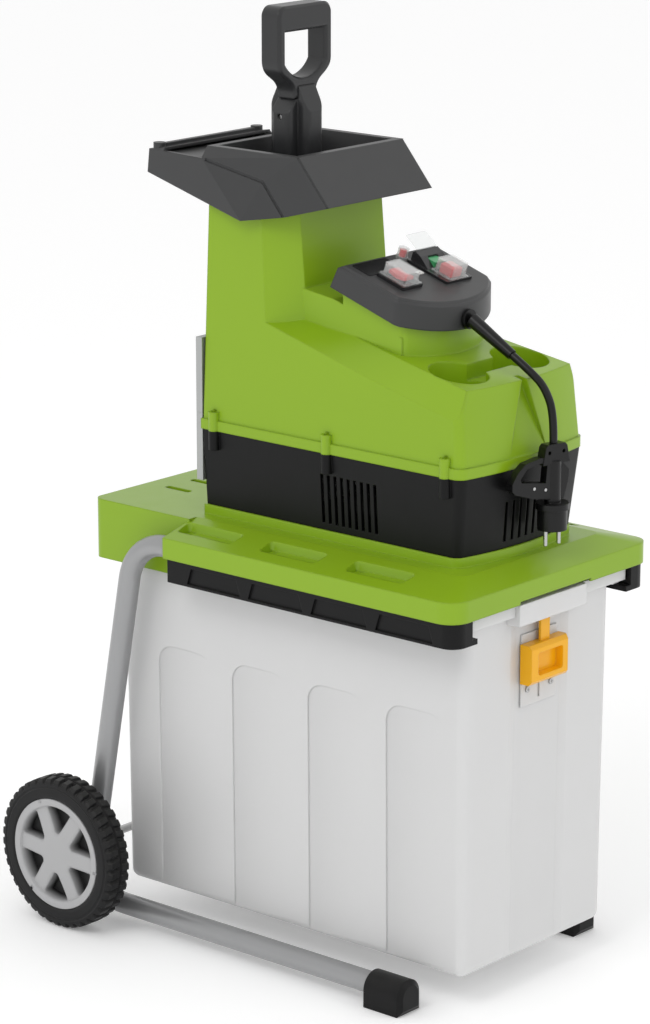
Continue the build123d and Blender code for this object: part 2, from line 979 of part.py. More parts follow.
# Latch: a guide plate and two screws on the box, and the yellow slider with its tongue
plate_top_z = latch_z + latch_height + latch_travel
channel_y = box_front_y + channel_depth + (box_top_z - plate_top_z) * box_slope
plate_y = channel_y - seat_gap - latch_plate_t
slider_rear_y = plate_y - seat_gap
slider_front_y = slider_rear_y - latch_depth
with BuildPart() as latch_plate:
    slab(
        -latch_half + wall,
        latch_half - wall,
        plate_y,
        plate_y + latch_plate_t,
        latch_slot_low_z - 2 * wall,
        plate_top_z,
    )
    slab(
        -latch_slot_half,
        latch_slot_half,
        plate_y - overrun,
        plate_y + latch_plate_t + overrun,
        latch_slot_low_z,
        latch_z + latch_height / 2,
        Mode.SUBTRACT,
    )
save(latch_plate, "latch_plate")

with BuildPart() as latch_screws:
    for side in (-1, 1):
        rod(
            side * latch_screw_x,
            plate_y - seat_gap - latch_screw_t,
            latch_screw_z,
            latch_screw_r,
            latch_screw_t,
            "y",
        )
        with BuildSketch(across(plate_y - seat_gap - latch_screw_t)):
            with Locations((side * latch_screw_x, latch_screw_z)):
                Rectangle(latch_screw_r, latch_screw_t / 2)
                Rectangle(latch_screw_t / 2, latch_screw_r)
        extrude(amount=-latch_screw_t / 2, mode=Mode.SUBTRACT)
save(latch_screws, "latch_screws")

with BuildPart() as latch_slider:
    slab(
        -latch_half,
        latch_half,
        slider_front_y,
        slider_rear_y,
        latch_z,
        latch_z + latch_height,
    )
    front_edges = latch_slider.faces().sort_by(Axis.Y)[0].edges()
    chamfer(front_edges.sort_by(Axis.X)[-1], latch_chamfer, latch_chamfer / 2)
    chamfer(
        latch_slider.faces().sort_by(Axis.Z)[0].edges().sort_by(Axis.Y)[0], latch_chamfer * latch_low_share
    )
    chamfer(
        latch_slider.faces().sort_by(Axis.Z)[-1].edges().sort_by(Axis.Y)[0], latch_chamfer * latch_low_share
    )
    with BuildSketch(across(slider_front_y)):
        with Locations((0, latch_z + latch_height / 2)):
            RectangleRounded(latch_pocket_w, latch_pocket_h, latch_chamfer / 2)
    extrude(amount=-latch_pocket_d, taper=latch_pocket_taper, mode=Mode.SUBTRACT)
    slab(
        -latch_stem_half,
        latch_stem_half,
        latch_stem_y,
        latch_stem_y + latch_stem_t,
        latch_z + latch_height - wall,
        flange_z - catch_gap,
    )
save(latch_slider, "latch_slider")

# Base housing: black, with vents, saddles for the motor and a window for the casting
def head_loft(low_z, low, high_z, high):
    """A ruled body between two head outlines, each given as half width, side y and front y."""
    with BuildPart() as body:
        with BuildSketch(level(low_z)):
            add(head_outline(*low))
        with BuildSketch(level(high_z)):
            add(head_outline(*high))
        loft(ruled=True)
    return body.part


base_low = (base_half, base_side_y, base_front_y)
seam_low = (seam_half, seam_side_y, seam_front_y)
cutter_length = cutter_discs * cutter_disc_t + (cutter_discs - 1) * cutter_disc_gap
stage_one_c = stage_one_module * (stage_one_pinion + stage_one_gear) / 2
stage_two_c = stage_two_module * (stage_two_pinion + stage_two_gear) / 2
lay_x = cutter_x + stage_two_c * cos(radians(lay_drop))
lay_z = cutter_z - stage_two_c * sin(radians(lay_drop))
rotor_x = lay_x - stage_one_c

with BuildPart() as base_housing:
    add(head_loft(plinth_z, base_low, seam_z, seam_low))
    add(
        head_loft(
            plinth_z + wall,
            (base_half - wall, base_side_y, base_front_y + wall),
            seam_z,
            (seam_half - wall, seam_side_y, seam_front_y + wall),
        ),
        mode=Mode.SUBTRACT,
    )
    for rib_y in (stator_front_y + 2 * wall, stator_front_y + stator_length - 3 * wall):
        slab(
            rotor_x - stator_r,
            rotor_x + stator_r,
            rib_y,
            rib_y + wall,
            plinth_z + wall / 2,
            lay_z - stator_r / 2,
        )
    for rib_y in (stator_front_y, stator_front_y + capacitor_length / 2):
        slab(
            capacitor_x - capacitor_r,
            capacitor_x + capacitor_r,
            rib_y,
            rib_y + wall,
            plinth_z + wall / 2,
            capacitor_z,
        )
    rod(
        capacitor_x,
        stator_front_y - wall,
        capacitor_z,
        capacitor_r + seat_gap,
        capacitor_length,
        "y",
        Mode.SUBTRACT,
    )
    rod(rotor_x, stator_front_y, lay_z, stator_r + seat_gap, stator_length, "y", Mode.SUBTRACT)
    slab(
        -chamber_cavity_half,
        chamber_cavity_half,
        chamber_front_wall,
        chamber_rear_y - chamber_rear_wall,
        plinth_z - overrun,
        plinth_z + 2 * wall,
        Mode.SUBTRACT,
    )
    slab(
        -window_half_x,
        window_half_x,
        head_rear_y - 2 * wall,
        head_rear_y + overrun,
        window_low_z,
        seam_z + overrun,
        Mode.SUBTRACT,
    )
    vents = [vent_mid_y + (k - (vent_count - 1) / 2) * vent_pitch for k in range(vent_count)]
    for side in (-1, 1):
        for vent_y in vents:
            slab(
                side * (base_half - 3 * wall),
                side * (seam_half + overrun),
                vent_y - vent_width / 2,
                vent_y + vent_width / 2,
                vent_low_z,
                vent_low_z + vent_height,
                Mode.SUBTRACT,
            )
    for k in range(grille_count):
        slot_x = grille_mid_x + (k - (grille_count - 1) / 2) * grille_pitch
        slab(
            slot_x - vent_width / 2,
            slot_x + vent_width / 2,
            seam_front_y - overrun,
            base_front_y + 4 * wall,
            vent_low_z,
            vent_low_z + vent_height * vent_short_share,
            Mode.SUBTRACT,
        )
    for side in (-1, 1):
        for boss in boss_y:
            rod(side * boss_x, boss, seam_z - boss_height, boss_r, boss_height, "z")
            rod(
                side * boss_x,
                boss,
                seam_z - boss_height + wall,
                boss_hole_r,
                boss_height,
                "z",
                Mode.SUBTRACT,
            )
save(base_housing, "base_housing")


# Upper housing: nose with a sloping roof, chute, pedestal, cups and screw bosses
roof_rise = (roof_rear_z - roof_front_z) / (roof_rear_y - roof_front_y)
chute_taper = (seam_half - chute_half_top) / (chute_top_z - seam_z)
chute_lean = (chute_front_y - chute_front_low_y) / (chute_top_z - roof_rear_z)


def roof_z(y):
    return roof_front_z + (y - roof_front_y) * roof_rise


def chute_outline(z, inset):
    """The chute's outline at height z, as a flat sketch."""
    half = seam_half - (z - seam_z) * chute_taper - inset
    front = chute_front_y - (chute_top_z - z) * chute_lean + inset
    with BuildSketch() as outline:
        with BuildLine():
            Polyline(
                (-chute_bevel_x, front),
                (chute_bevel_x, front),
                (half, front + chute_bevel_y),
                (half, head_rear_y - inset),
                (-half, head_rear_y - inset),
                (-half, front + chute_bevel_y),
                close=True,
            )
        make_face()
    return outline.sketch


def bevel_section(side, y, inset):
    """Triangle that the bevel of the nose cuts away at y, as a flat sketch in x and z."""
    share = (y - bevel_front_y) / (bevel_rear_low_y - bevel_front_y)
    low = [a + (b - a) * share for a, b in zip(bevel_front_low, bevel_rear_low)]
    high = [a + (b - a) * share for a, b in zip(bevel_front_high, bevel_rear_high)]
    low_out = [a + (a - b) * bevel_share for a, b in zip(low, high)]
    high_out = [a + (a - b) * bevel_share for a, b in zip(high, low)]
    with BuildSketch() as section:
        with BuildLine():
            Polyline(
                (side * (low_out[0] - inset), low_out[1] - inset),
                (side * (high_out[0] - inset), high_out[1] - inset),
                (side * (low_out[0] + bevel_out), high_out[1] + bevel_out),
                close=True,
            )
        make_face()
    return section.sketch


def bevel_cut(side, inset):
    """What the bevel takes off the nose on one side."""
    with BuildPart() as cut:
        for y in (bevel_front_y - bevel_over, bevel_rear_low_y + bevel_over):
            with BuildSketch(across(y)):
                add(bevel_section(side, y, inset))
        loft(ruled=True)
    return cut.part


def nose(inset):
    """The nose under its sloping roof, with every face moved in by inset."""
    nose_half = seam_half - (nose_z - seam_z) * chute_taper
    drop = inset / cos(atan(roof_rise))
    with BuildPart() as body:
        add(
            head_loft(
                seam_z,
                (seam_half, seam_side_y, seam_front_y, -inset),
                nose_z,
                (nose_half, nose_side_y, nose_front_y, -inset),
            )
        )
        with BuildSketch(along(-seam_half - overrun)):
            with BuildLine():
                Polyline(
                    (2 * roof_front_y, roof_z(2 * roof_front_y) - drop),
                    (-2 * roof_front_y, roof_z(-2 * roof_front_y) - drop),
                    (-2 * roof_front_y, 2 * nose_z),
                    (2 * roof_front_y, 2 * nose_z),
                    close=True,
                )
            make_face()
        extrude(amount=2 * (seam_half + overrun), mode=Mode.SUBTRACT)
        for side in (-1, 1):
            add(bevel_cut(side, inset), mode=Mode.SUBTRACT)
    return body.part


def chute(inset):
    with BuildPart() as body:
        for z in (seam_z, chute_top_z):
            with BuildSketch(level(z)):
                add(chute_outline(z, inset))
        loft(ruled=True)
    return body.part


# Control panel body: a slab parallel to its sloping seat, with a bowed front
panel_tan = tan(radians(panel_slope))
panel_cos = cos(radians(panel_slope))


def panel_z(y):
    """Height of the panel's underside."""
    return panel_mid_z + (y - panel_mid_y) * panel_tan


def panel_plan(inset):
    with BuildSketch() as plan:
        with BuildLine():
            Polyline(
                (panel_half - inset, panel_round_y),
                (panel_half - inset, panel_rear_y - inset),
                (inset - panel_half, panel_rear_y - inset),
                (inset - panel_half, panel_round_y),
            )
            ThreePointArc(
                (inset - panel_half, panel_round_y),
                (0, panel_front_y + inset),
                (panel_half - inset, panel_round_y),
            )
        make_face()
        fillet(plan.vertices().group_by(Axis.Y)[0], panel_corner_front_r)
    return plan.sketch


def panel_slab(inset, low, high):
    """The panel between two planes low and high above its underside."""
    with BuildPart() as body:
        with BuildSketch(level(roof_front_z - wall)):
            add(panel_plan(inset))
        extrude(amount=nose_z)
        with BuildSketch(along(-panel_half)):
            front = 2 * panel_front_y
            rear = panel_rear_y - inset
            lean = panel_rear_lean / panel_t
            with BuildLine():
                Polyline(
                    (front, panel_z(front) + low),
                    (rear - low * lean, panel_z(rear - low * lean) + low),
                    (rear - high * lean, panel_z(rear - high * lean) + high),
                    (front, panel_z(front) + high),
                    close=True,
                )
            make_face()
        extrude(amount=2 * panel_half, mode=Mode.INTERSECT)
    return body.part


with BuildPart() as control_panel:
    add(panel_slab(0, 0, panel_t))
    top_face = control_panel.faces().filter_by(
        lambda face: abs(face.normal_at().Z - panel_cos) < seat_gap / panel_t
    )
    chamfer(top_face.sort_by(Axis.Z)[-1].edges(), panel_bevel)
    add(panel_slab(panel_shell, panel_shell, panel_t - panel_shell), mode=Mode.SUBTRACT)
    add(panel_slab(pedestal_inset + edge_round, -overrun, 2 * panel_shell), mode=Mode.SUBTRACT)
save(control_panel, "control_panel")


# Pedestal under the panel, part of the upper housing
def pedestal(inset):
    side = panel_half - pedestal_inset - inset
    with BuildPart() as body:
        with BuildSketch(level(roof_front_z - wall)):
            add(panel_plan(pedestal_inset + inset))
        extrude(amount=nose_z)
        with BuildSketch(along(-panel_half)):
            with BuildLine():
                Polyline(
                    (panel_front_y, roof_front_z - 2 * wall),
                    (panel_rear_y, roof_front_z - 2 * wall),
                    (panel_rear_y, panel_z(panel_rear_y) - inset),
                    (panel_front_y, panel_z(panel_front_y) - inset),
                    close=True,
                )
            make_face()
        extrude(amount=2 * panel_half, mode=Mode.INTERSECT)
        with BuildSketch(along(-side)):
            with BuildLine():
                Polyline(
                    (panel_round_y, roof_front_z - wall),
                    (chute_front_y + inset, roof_front_z - wall),
                    (chute_front_y + inset, ledge_rear_z - inset),
                    (ledge_front_y, ledge_front_z - inset),
                    (panel_round_y, ledge_front_z - inset - panel_t),
                    close=True,
                )
            make_face()
        extrude(amount=2 * side)
    return body.part


with BuildPart() as cups:
    for side in (-1, 1):
        rod(
            side * cup_x,
            cup_y,
            roof_z(cup_y) - cup_depth - cup_wall,
            cup_r + cup_wall,
            nose_z - roof_front_z,
            "z",
        )
    slab(
        -cup_x,
        cup_x,
        notch_mid_y - cup_notch_w / 2 - cup_wall,
        notch_mid_y + cup_notch_w / 2 + cup_wall,
        notch_floor_z - cup_wall,
        roof_z(notch_mid_y),
    )
    add(nose(wall / 2), mode=Mode.INTERSECT)


def front_groove(grow):
    """The groove in the front wall, wide at the foot and narrow at the roof, larger by grow."""
    with BuildPart() as cut:
        with BuildSketch(level(seam_z + strip_height)):
            with Locations((0, seam_front_y)):
                Rectangle(2 * (groove_half + grow), groove_depth / 2 + 2 * grow)
        with BuildSketch(level(roof_front_z + wall)):
            with Locations((0, seam_front_y + groove_depth)):
                Rectangle(2 * (groove_tip + grow), 4 * groove_depth + 2 * grow)
        loft(ruled=True)
    return cut.part


# Wall behind the groove, so that the shell stays closed where the groove is deep
with BuildPart() as groove_back:
    add(front_groove(wall))
    add(nose(wall / 2), mode=Mode.INTERSECT)

with BuildPart() as upper_housing:
    add(nose(0))
    add(chute(0))
    add(pedestal(0))
    with BuildSketch(level(seam_z)):
        add(head_outline(seam_half, seam_side_y, seam_front_y, strip_grow))
    extrude(amount=strip_height)
    for side in (-1, 1):
        for boss in boss_y:
            rod(side * boss_x, boss, seam_z, boss_r, boss_height, "z")
    add(nose(wall), mode=Mode.SUBTRACT)
    add(chute(wall), mode=Mode.SUBTRACT)
    add(pedestal(wall), mode=Mode.SUBTRACT)
    add(cups.part)
    add(groove_back.part)
    add(front_groove(0), mode=Mode.SUBTRACT)
    for side in (-1, 1):
        rod(
            side * cup_x,
            cup_y,
            roof_z(cup_y) - cup_depth,
            cup_r,
            nose_z,
            "z",
            Mode.SUBTRACT,
        )
    slab(
        -cup_x,
        cup_x,
        notch_mid_y - cup_notch_w / 2,
        notch_mid_y + cup_notch_w / 2,
        notch_floor_z,
        nose_z,
        Mode.SUBTRACT,
    )
    slab(
        -window_half_x,
        window_half_x,
        head_rear_y - 2 * wall,
        head_rear_y + strip_grow + overrun,
        seam_z - overrun,
        window_high_z,
        Mode.SUBTRACT,
    )
    for side in (-1, 1):
        for boss in boss_y:
            rod(
                side * boss_x,
                boss,
                seam_z - overrun,
                boss_hole_r,
                boss_height + 2 * overrun,
                "z",
                Mode.SUBTRACT,
            )
    rod(
        chamber_half,
        (chamber_front_wall + cutter_front_y + cutter_length) / 2,
        cutter_z,
        2 * screw_r,
        seam_half,
        "x",
        Mode.SUBTRACT,
    )
save(upper_housing, "upper_housing")

with BuildPart() as housing_screws:
    for side in (-1, 1):
        for boss in boss_y:
            rod(
                side * boss_x,
                boss,
                seam_z - boss_height + wall + seat_gap,
                boss_hole_r - seat_gap,
                2 * boss_height - 3 * wall,
                "z",
            )
            with BuildSketch(level(seam_z + boss_height - 2 * wall + seat_gap)):
                with Locations((side * boss_x, boss)):
                    RegularPolygon(boss_hole_r / 2, 6)
            extrude(amount=-wall / 2, mode=Mode.SUBTRACT)
save(housing_screws, "housing_screws")


# Hopper: a folded box with flat faces, a funnel inside it and a floor that sits on the chute
def faceted(points, corners):
    """A solid from named points; every face is given by the names of its corners."""
    faces = [Face(Wire.make_polygon([points[name] for name in names])) for names in corners]
    return Solid(Shell(faces))


def hopper_points(inset, drop):
    """Corners of the hopper; inset moves them inwards and drop lowers the open underside."""
    top = hopper_top_z - inset
    rise = (hopper_front_z - hopper_top_z) / (hopper_front_y - hopper_top_front_y)
    flare = (hopper_side_half - groove_corner_x) / (groove_corner_z - hopper_side_z)
    front_low_y = hopper_front_y - drop / rise + inset
    side_x = hopper_side_half + drop * flare - inset
    values = {
        "t1": (hopper_top_half - inset, hopper_top_front_y + inset, top),
        "t2": (hopper_top_half - inset, hopper_top_rear_y - inset, top),
        "t3": (hopper_rear_half - inset, hopper_rear_y - inset - wall, hopper_tray_z - inset),
        "b3": (hopper_rear_half - inset, hopper_rear_y - inset, hopper_rear_z - drop),
        "s2": (side_x, hopper_side_y, hopper_side_z - drop),
        "s1": (groove_corner_x - inset, hopper_side_front_y, hopper_side_front_z - drop),
        "f1": (hopper_front_half - inset, front_low_y, hopper_front_z - drop),
        "g1": (groove_corner_x - inset, groove_front_y, groove_corner_z - inset / 2),
        "g2": (groove_corner_x - inset, hopper_top_rear_y - inset, hopper_tray_z - inset),
    }
    both = {}
    for name, (x, y, z) in values.items():
        both[name + "r"] = (x, y, z)
        both[name + "l"] = (-x, y, z)
    return both


hopper_sides = [
    ("t1", "t2", "g2"),
    ("t1", "g2", "g1"),
    ("t1", "g1", "s1"),
    ("t1", "s1", "f1"),
    ("g1", "s2", "s1"),
    ("g1", "g2", "s2"),
    ("g2", "b3", "s2"),
    ("g2", "t3", "b3"),
    ("t2", "t3", "g2"),
]
hopper_spans = [
    ("t1", "t2"),
    ("t2", "t3"),
    ("t3", "b3"),
    ("f1", "t1"),
    ("f1", "s1"),
    ("s1", "s2"),
    ("s2", "b3"),
]
hopper_faces = [tuple(name + side for name in face) for face in hopper_sides for side in "lr"]
hopper_faces += [(a + "l", a + "r", b + "r", b + "l") for a, b in hopper_spans]


def funnel(grow, low_z):
    """The funnel between the collar and the throat; grow moves its faces outwards."""
    with BuildPart() as body:
        with BuildSketch(level(hopper_top_z + overrun)):
            with Locations((0, (hopper_top_front_y + hopper_top_rear_y) / 2)):
                Rectangle(
                    2 * (hopper_top_half - funnel_edge + grow),
                    hopper_top_rear_y - hopper_top_front_y - 2 * (funnel_edge - grow),
                )
        with BuildSketch(level(chute_top_z)):
            with Locations((0, (throat_front_y + throat_rear_y) / 2)):
                Rectangle(
                    2 * (throat_half_x + grow), throat_rear_y - throat_front_y + 2 * grow
                )
        loft(ruled=True)
        slab(
            -throat_half_x - grow,
            throat_half_x + grow,
            throat_front_y - grow,
            throat_rear_y + grow,
            low_z,
            chute_top_z,
        )
    return body.part


def groove(start, end, width, depth):
    """A straight groove cut into the part that is being built, between two points."""
    first, last = Vector(*start), Vector(*end)
    middle = (first + last) / 2
    side = Vector(copysign(1, middle.X), 0, 0) if abs(middle.X) > wall else Vector(0, -1, 0)
    run = last - first
    with Locations(Plane(origin=middle, x_dir=run, z_dir=run.cross(side.cross(run)))):
        Box(run.length, width, 2 * depth, mode=Mode.SUBTRACT)


with BuildPart() as hopper:
    outer = hopper_points(0, 0)
    add(faceted(outer, hopper_faces))
    slab(
        -hopper_side_half,
        hopper_side_half,
        hopper_top_rear_y,
        hopper_rear_y - 2 * hopper_bar_t,
        hopper_tray_z,
        hopper_top_z + overrun,
        Mode.SUBTRACT,
    )
    for side in ("l", "r"):
        rear_end = Vector(*outer["g2" + side])
        rear_end += (Vector(*outer["g1" + side]) - rear_end) * groove_inset_share
        groove(rear_end, outer["g1" + side], hopper_groove_w, hopper_groove_d)
        groove(outer["g1" + side], outer["s1" + side], hopper_groove_w, hopper_groove_d)
        groove(outer["t1" + side], outer["f1" + side], hopper_groove_w, hopper_groove_d)
    add(faceted(hopper_points(wall, 4 * wall), hopper_faces), mode=Mode.SUBTRACT)
    bar_y = hopper_rear_y - wall - hopper_bar_t
    slab(
        wall - hopper_rear_half,
        hopper_rear_half - wall,
        bar_y,
        bar_y + hopper_bar_t / 2,
        hopper_tray_z - wall,
        hopper_bar_z,
    )
    for side in (-1, 1):
        rod(
            side * (hopper_rear_half - 2 * wall),
            bar_y + hopper_bar_t / 4,
            hopper_tray_z - wall,
            hopper_bar_t / 2,
            hopper_bar_z - hopper_tray_z + wall + edge_round,
            "z",
        )
    add(funnel(funnel_wall, throat_low_z))
    slab(
        wall - chute_half_top,
        chute_half_top - wall,
        chute_front_y + wall,
        head_rear_y - wall,
        chute_top_z,
        chute_top_z + wall,
    )
    slab(
        -hopper_top_half,
        hopper_top_half,
        hopper_top_front_y,
        hopper_top_rear_y,
        hopper_top_z,
        hopper_top_z + 2 * overrun,
        Mode.SUBTRACT,
    )
    add(funnel(0, throat_low_z - overrun), mode=Mode.SUBTRACT)
    slab(
        -plunger_arm_half / 2,
        plunger_arm_half / 2,
        plunger_y + plunger_arm + seat_gap,
        throat_rear_y + funnel_wall,
        chute_top_z - guide_height,
        chute_top_z,
    )
save(hopper, "hopper")

# Feed plunger: a cross-shaped stem, a spade grip set into it and a pin through both
with BuildPart() as plunger_stem:
    with BuildSketch(level(plunger_low_z)):
        with Locations((0, plunger_y)):
            RectangleRounded(2 * plunger_arm, 2 * plunger_arm_half, plunger_arm_round)
            RectangleRounded(2 * plunger_arm_half, 2 * plunger_arm, plunger_arm_round)
    extrude(amount=gusset_tip_z - plunger_low_z)
    for turn in range(4):
        corner = Plane(origin=(0, plunger_y, 0)).rotated((0, 0, 90 * turn))
        with BuildSketch(Plane(origin=(0, plunger_y, 0), x_dir=corner.x_dir, z_dir=-corner.y_dir)):
            with BuildLine():
                Polyline(
                    (plunger_arm + overrun, plunger_shoulder_z - overrun * 2),
                    (grip_t / 2, gusset_tip_z if turn % 2 else plunger_neck_z),
                    (grip_t / 2, gusset_tip_z + overrun),
                    (plunger_arm + overrun, gusset_tip_z + overrun),
                    close=True,
                )
            make_face()
        extrude(amount=plunger_arm, both=True, mode=Mode.SUBTRACT)
    slab(
        -grip_neck_half,
        grip_neck_half,
        plunger_y - grip_t / 2,
        plunger_y + grip_t / 2,
        plunger_neck_z,
        gusset_tip_z + overrun,
        Mode.SUBTRACT,
    )
    slab(
        -socket_half - seat_gap,
        socket_half + seat_gap,
        plunger_y - socket_half - seat_gap,
        plunger_y + socket_half + seat_gap,
        plunger_neck_z - socket_depth - seat_gap,
        plunger_neck_z + overrun,
        Mode.SUBTRACT,
    )
    rod(
        -plunger_arm - overrun,
        plunger_y,
        plunger_neck_z - socket_depth / 2,
        pin_r + seat_gap,
        2 * (plunger_arm + overrun),
        "x",
        Mode.SUBTRACT,
    )
save(plunger_stem, "plunger_stem")

with BuildPart() as plunger_grip:
    with BuildSketch(across(plunger_y)) as grip_face:
        with BuildLine():
            Line((-grip_neck_half, plunger_neck_z), (grip_neck_half, plunger_neck_z))
            Spline(
                (grip_neck_half, plunger_neck_z),
                (grip_half * shoulder_share, gusset_tip_z + wall),
                (grip_half, grip_side_z + wall),
                tangents=[(0, 1), (0, 1)],
            )
            Polyline(
                (grip_half, grip_side_z + wall),
                (grip_half, grip_top_z),
                (-grip_half, grip_top_z),
                (-grip_half, grip_side_z + wall),
            )
            Spline(
                (-grip_half, grip_side_z + wall),
                (-grip_half * shoulder_share, gusset_tip_z + wall),
                (-grip_neck_half, plunger_neck_z),
                tangents=[(0, -1), (0, -1)],
            )
        make_face()
        fillet(grip_face.vertices().group_by(Axis.Y)[-1], grip_corner_r)
        hole_half = grip_half - grip_leg
        with BuildLine():
            Polyline(
                (-hole_half, grip_side_z),
                (-hole_half, grip_hole_top_z),
                (hole_half, grip_hole_top_z),
                (hole_half, grip_side_z),
            )
            ThreePointArc(
                (hole_half, grip_side_z), (0, grip_hole_low_z), (-hole_half, grip_side_z)
            )
        make_face(mode=Mode.SUBTRACT)
    extrude(amount=grip_t / 2, both=True)
    rims = plunger_grip.faces().filter_by(Axis.Y)
    chamfer(rims.edges(), grip_edge)
    slab(
        -socket_half,
        socket_half,
        plunger_y - socket_half,
        plunger_y + socket_half,
        plunger_neck_z - socket_depth,
        plunger_neck_z + wall,
    )
    rod(
        -plunger_arm,
        plunger_y,
        plunger_neck_z - socket_depth / 2,
        pin_r + seat_gap,
        2 * plunger_arm,
        "x",
        Mode.SUBTRACT,
    )
save(plunger_grip, "plunger_grip")

with BuildPart() as plunger_pin:
    rod(
        -plunger_arm + wall,
        plunger_y,
        plunger_neck_z - socket_depth / 2,
        pin_r,
        2 * (plunger_arm - wall),
        "x",
    )
save(plunger_pin, "plunger_pin")

# Cast cutting chamber in two halves, bolted together at the height of the cutter axis
knob_y = (chamber_front_wall + chamber_rear_y - chamber_rear_wall) / 2
flange_y = head_rear_y + strip_grow + seat_gap
cavity_rear_y = chamber_rear_y - chamber_rear_wall
with BuildPart() as casting:
    slab(-chamber_half, chamber_half, 0, chamber_rear_y, chamber_low_z, chamber_high_z)
    slab(
        seat_gap - window_half_x,
        window_half_x - seat_gap,
        chamber_rear_y - wall,
        flange_y + rear_flange_t / 2,
        window_low_z + seat_gap,
        window_high_z - seat_gap,
    )
    slab(
        -rear_flange_half,
        rear_flange_half,
        flange_y,
        flange_y + rear_flange_t,
        rear_flange_low_z,
        rear_flange_high_z,
    )
    rod(chamber_half - wall, knob_y, cutter_z, 2 * screw_r, chamber_boss_t, "x")
    slab(
        -chamber_cavity_half,
        chamber_cavity_half,
        chamber_front_wall,
        cavity_rear_y,
        chamber_low_z - overrun,
        chamber_high_z + overrun,
        Mode.SUBTRACT,
    )
    rod(cutter_x, -wall, cutter_z, bearing_r + seat_gap, chamber_rear_y + wall, "y", Mode.SUBTRACT)
    rod(lay_x, -wall, lay_z, lay_shaft_r + run_gap, lay_socket + wall, "y", Mode.SUBTRACT)
    rod(0, knob_y, cutter_z, screw_r + run_gap, chamber_half * 2, "x", Mode.SUBTRACT)
casting_reach = rear_flange_half + head_rear_y
for name, low_z, high_z in (
    ("chamber_upper", rear_flange_low_z - casting_reach, chamber_split_z),
    ("chamber_lower", chamber_split_z, rear_flange_high_z + casting_reach),
):
    with BuildPart() as half_casting:
        add(casting.part)
        slab(
            -casting_reach,
            casting_reach,
            -casting_reach,
            casting_reach,
            low_z,
            high_z,
            Mode.SUBTRACT,
        )
    save(half_casting, name)

# Cutter: toothed discs in a spiral on one shaft, running in two bearings
shaft_front_y = -stage_two_t - 2 * gear_side_gap
with BuildPart() as cutter_bearings:
    for start, width in ((0, chamber_front_wall), (cavity_rear_y, chamber_rear_wall - seat_gap)):
        rod(cutter_x, start, cutter_z, bearing_r, width, "y")
    rod(
        cutter_x,
        shaft_front_y,
        cutter_z,
        cutter_shaft_r + run_gap,
        2 * chamber_rear_y,
        "y",
        Mode.SUBTRACT,
    )
save(cutter_bearings, "cutter_bearings")

with BuildPart() as cutter_shaft:
    rod(
        cutter_x,
        shaft_front_y,
        cutter_z,
        cutter_shaft_r,
        chamber_rear_y - wall - shaft_front_y,
        "y",
    )
save(cutter_shaft, "cutter_shaft")

with BuildPart() as cutter_roller:
    rod(
        cutter_x,
        cutter_front_y,
        cutter_z,
        cutter_root_r - wall / 2,
        cutter_length,
        "y",
    )
    for disc in range(cutter_discs):
        disc_y = cutter_front_y + disc * (cutter_disc_t + cutter_disc_gap)
        tooth_step = 2 * pi / cutter_teeth
        outline = []
        for tooth in range(cutter_teeth):
            base_angle = tooth * tooth_step + disc * radians(cutter_twist)
            for radius, share in (
                (cutter_tip_r, 0),
                (cutter_tip_r, tooth_land_share),
                (cutter_root_r, tooth_gullet_share),
                (cutter_root_r, tooth_face_share),
            ):
                angle = base_angle + share * tooth_step
                outline.append(
                    (cutter_x + radius * cos(angle), cutter_z + radius * sin(angle))
                )
        with BuildSketch(across(disc_y)):
            with BuildLine():
                Polyline(*outline, close=True)
            make_face()
        extrude(amount=-cutter_disc_t)
    rod(
        cutter_x,
        cutter_front_y - overrun,
        cutter_z,
        cutter_shaft_r + seat_gap,
        cutter_length + 2 * overrun,
        "y",
        Mode.SUBTRACT,
    )
save(cutter_roller, "cutter_roller")


# Gears with involute flanks; the tip of a wheel is cut down so that a small pinion clears it
def involute(angle):
    return tan(angle) - angle


def gear_blank(x, z, y, teeth, module, width, phase, tip_share):
    """A spur gear whose tooth zero points at the angle phase, added to the part being built."""
    pitch_r = teeth * module / 2
    base_r = pitch_r * cos(radians(gear_pressure))
    tip_r = pitch_r + tip_share * module
    root_r = pitch_r - dedendum_share * module
    half = pi / (2 * teeth) - gear_backlash / (2 * pitch_r) + involute(radians(gear_pressure))
    flank = []
    for radius in (root_r, base_r, (base_r + tip_r) / 2, tip_r):
        reach = max(radius, base_r)
        flank.append((radius, half - involute(acos(min(1.0, base_r / reach)))))
    flank.sort()
    outline = []
    for tooth in range(teeth):
        middle = phase + tooth * 2 * pi / teeth
        for radius, angle in flank:
            outline.append((x + radius * cos(middle - angle), z + radius * sin(middle - angle)))
        for radius, angle in reversed(flank):
            outline.append((x + radius * cos(middle + angle), z + radius * sin(middle + angle)))
    with BuildPart() as gear:
        with BuildSketch(across(y)):
            with BuildLine():
                Polyline(*outline, close=True)
            make_face()
        extrude(amount=-width)
    return gear.part


mesh_two = -radians(lay_drop)
mesh_one = pi
stage_two_y = -gear_side_gap - stage_two_t
stage_one_y = stage_two_y - 2 * gear_side_gap - stage_one_t
with BuildPart() as output_gear:
    add(
        gear_blank(
            cutter_x,
            cutter_z,
            stage_two_y + gear_side_gap / 2,
            stage_two_gear,
            stage_two_module,
            stage_two_t - gear_side_gap,
            mesh_two,
            wheel_tip_share,
        )
    )
    for hole in range(gear_holes):
        angle = hole * 2 * pi / gear_holes
        rod(
            cutter_x + gear_hole_at * cos(angle),
            stage_two_y,
            cutter_z + gear_hole_at * sin(angle),
            gear_hole_r,
            stage_two_t,
            "y",
            Mode.SUBTRACT,
        )
    rod(
        cutter_x,
        stage_two_y,
        cutter_z,
        cutter_shaft_r + seat_gap,
        stage_two_t,
        "y",
        Mode.SUBTRACT,
    )
save(output_gear, "output_gear")

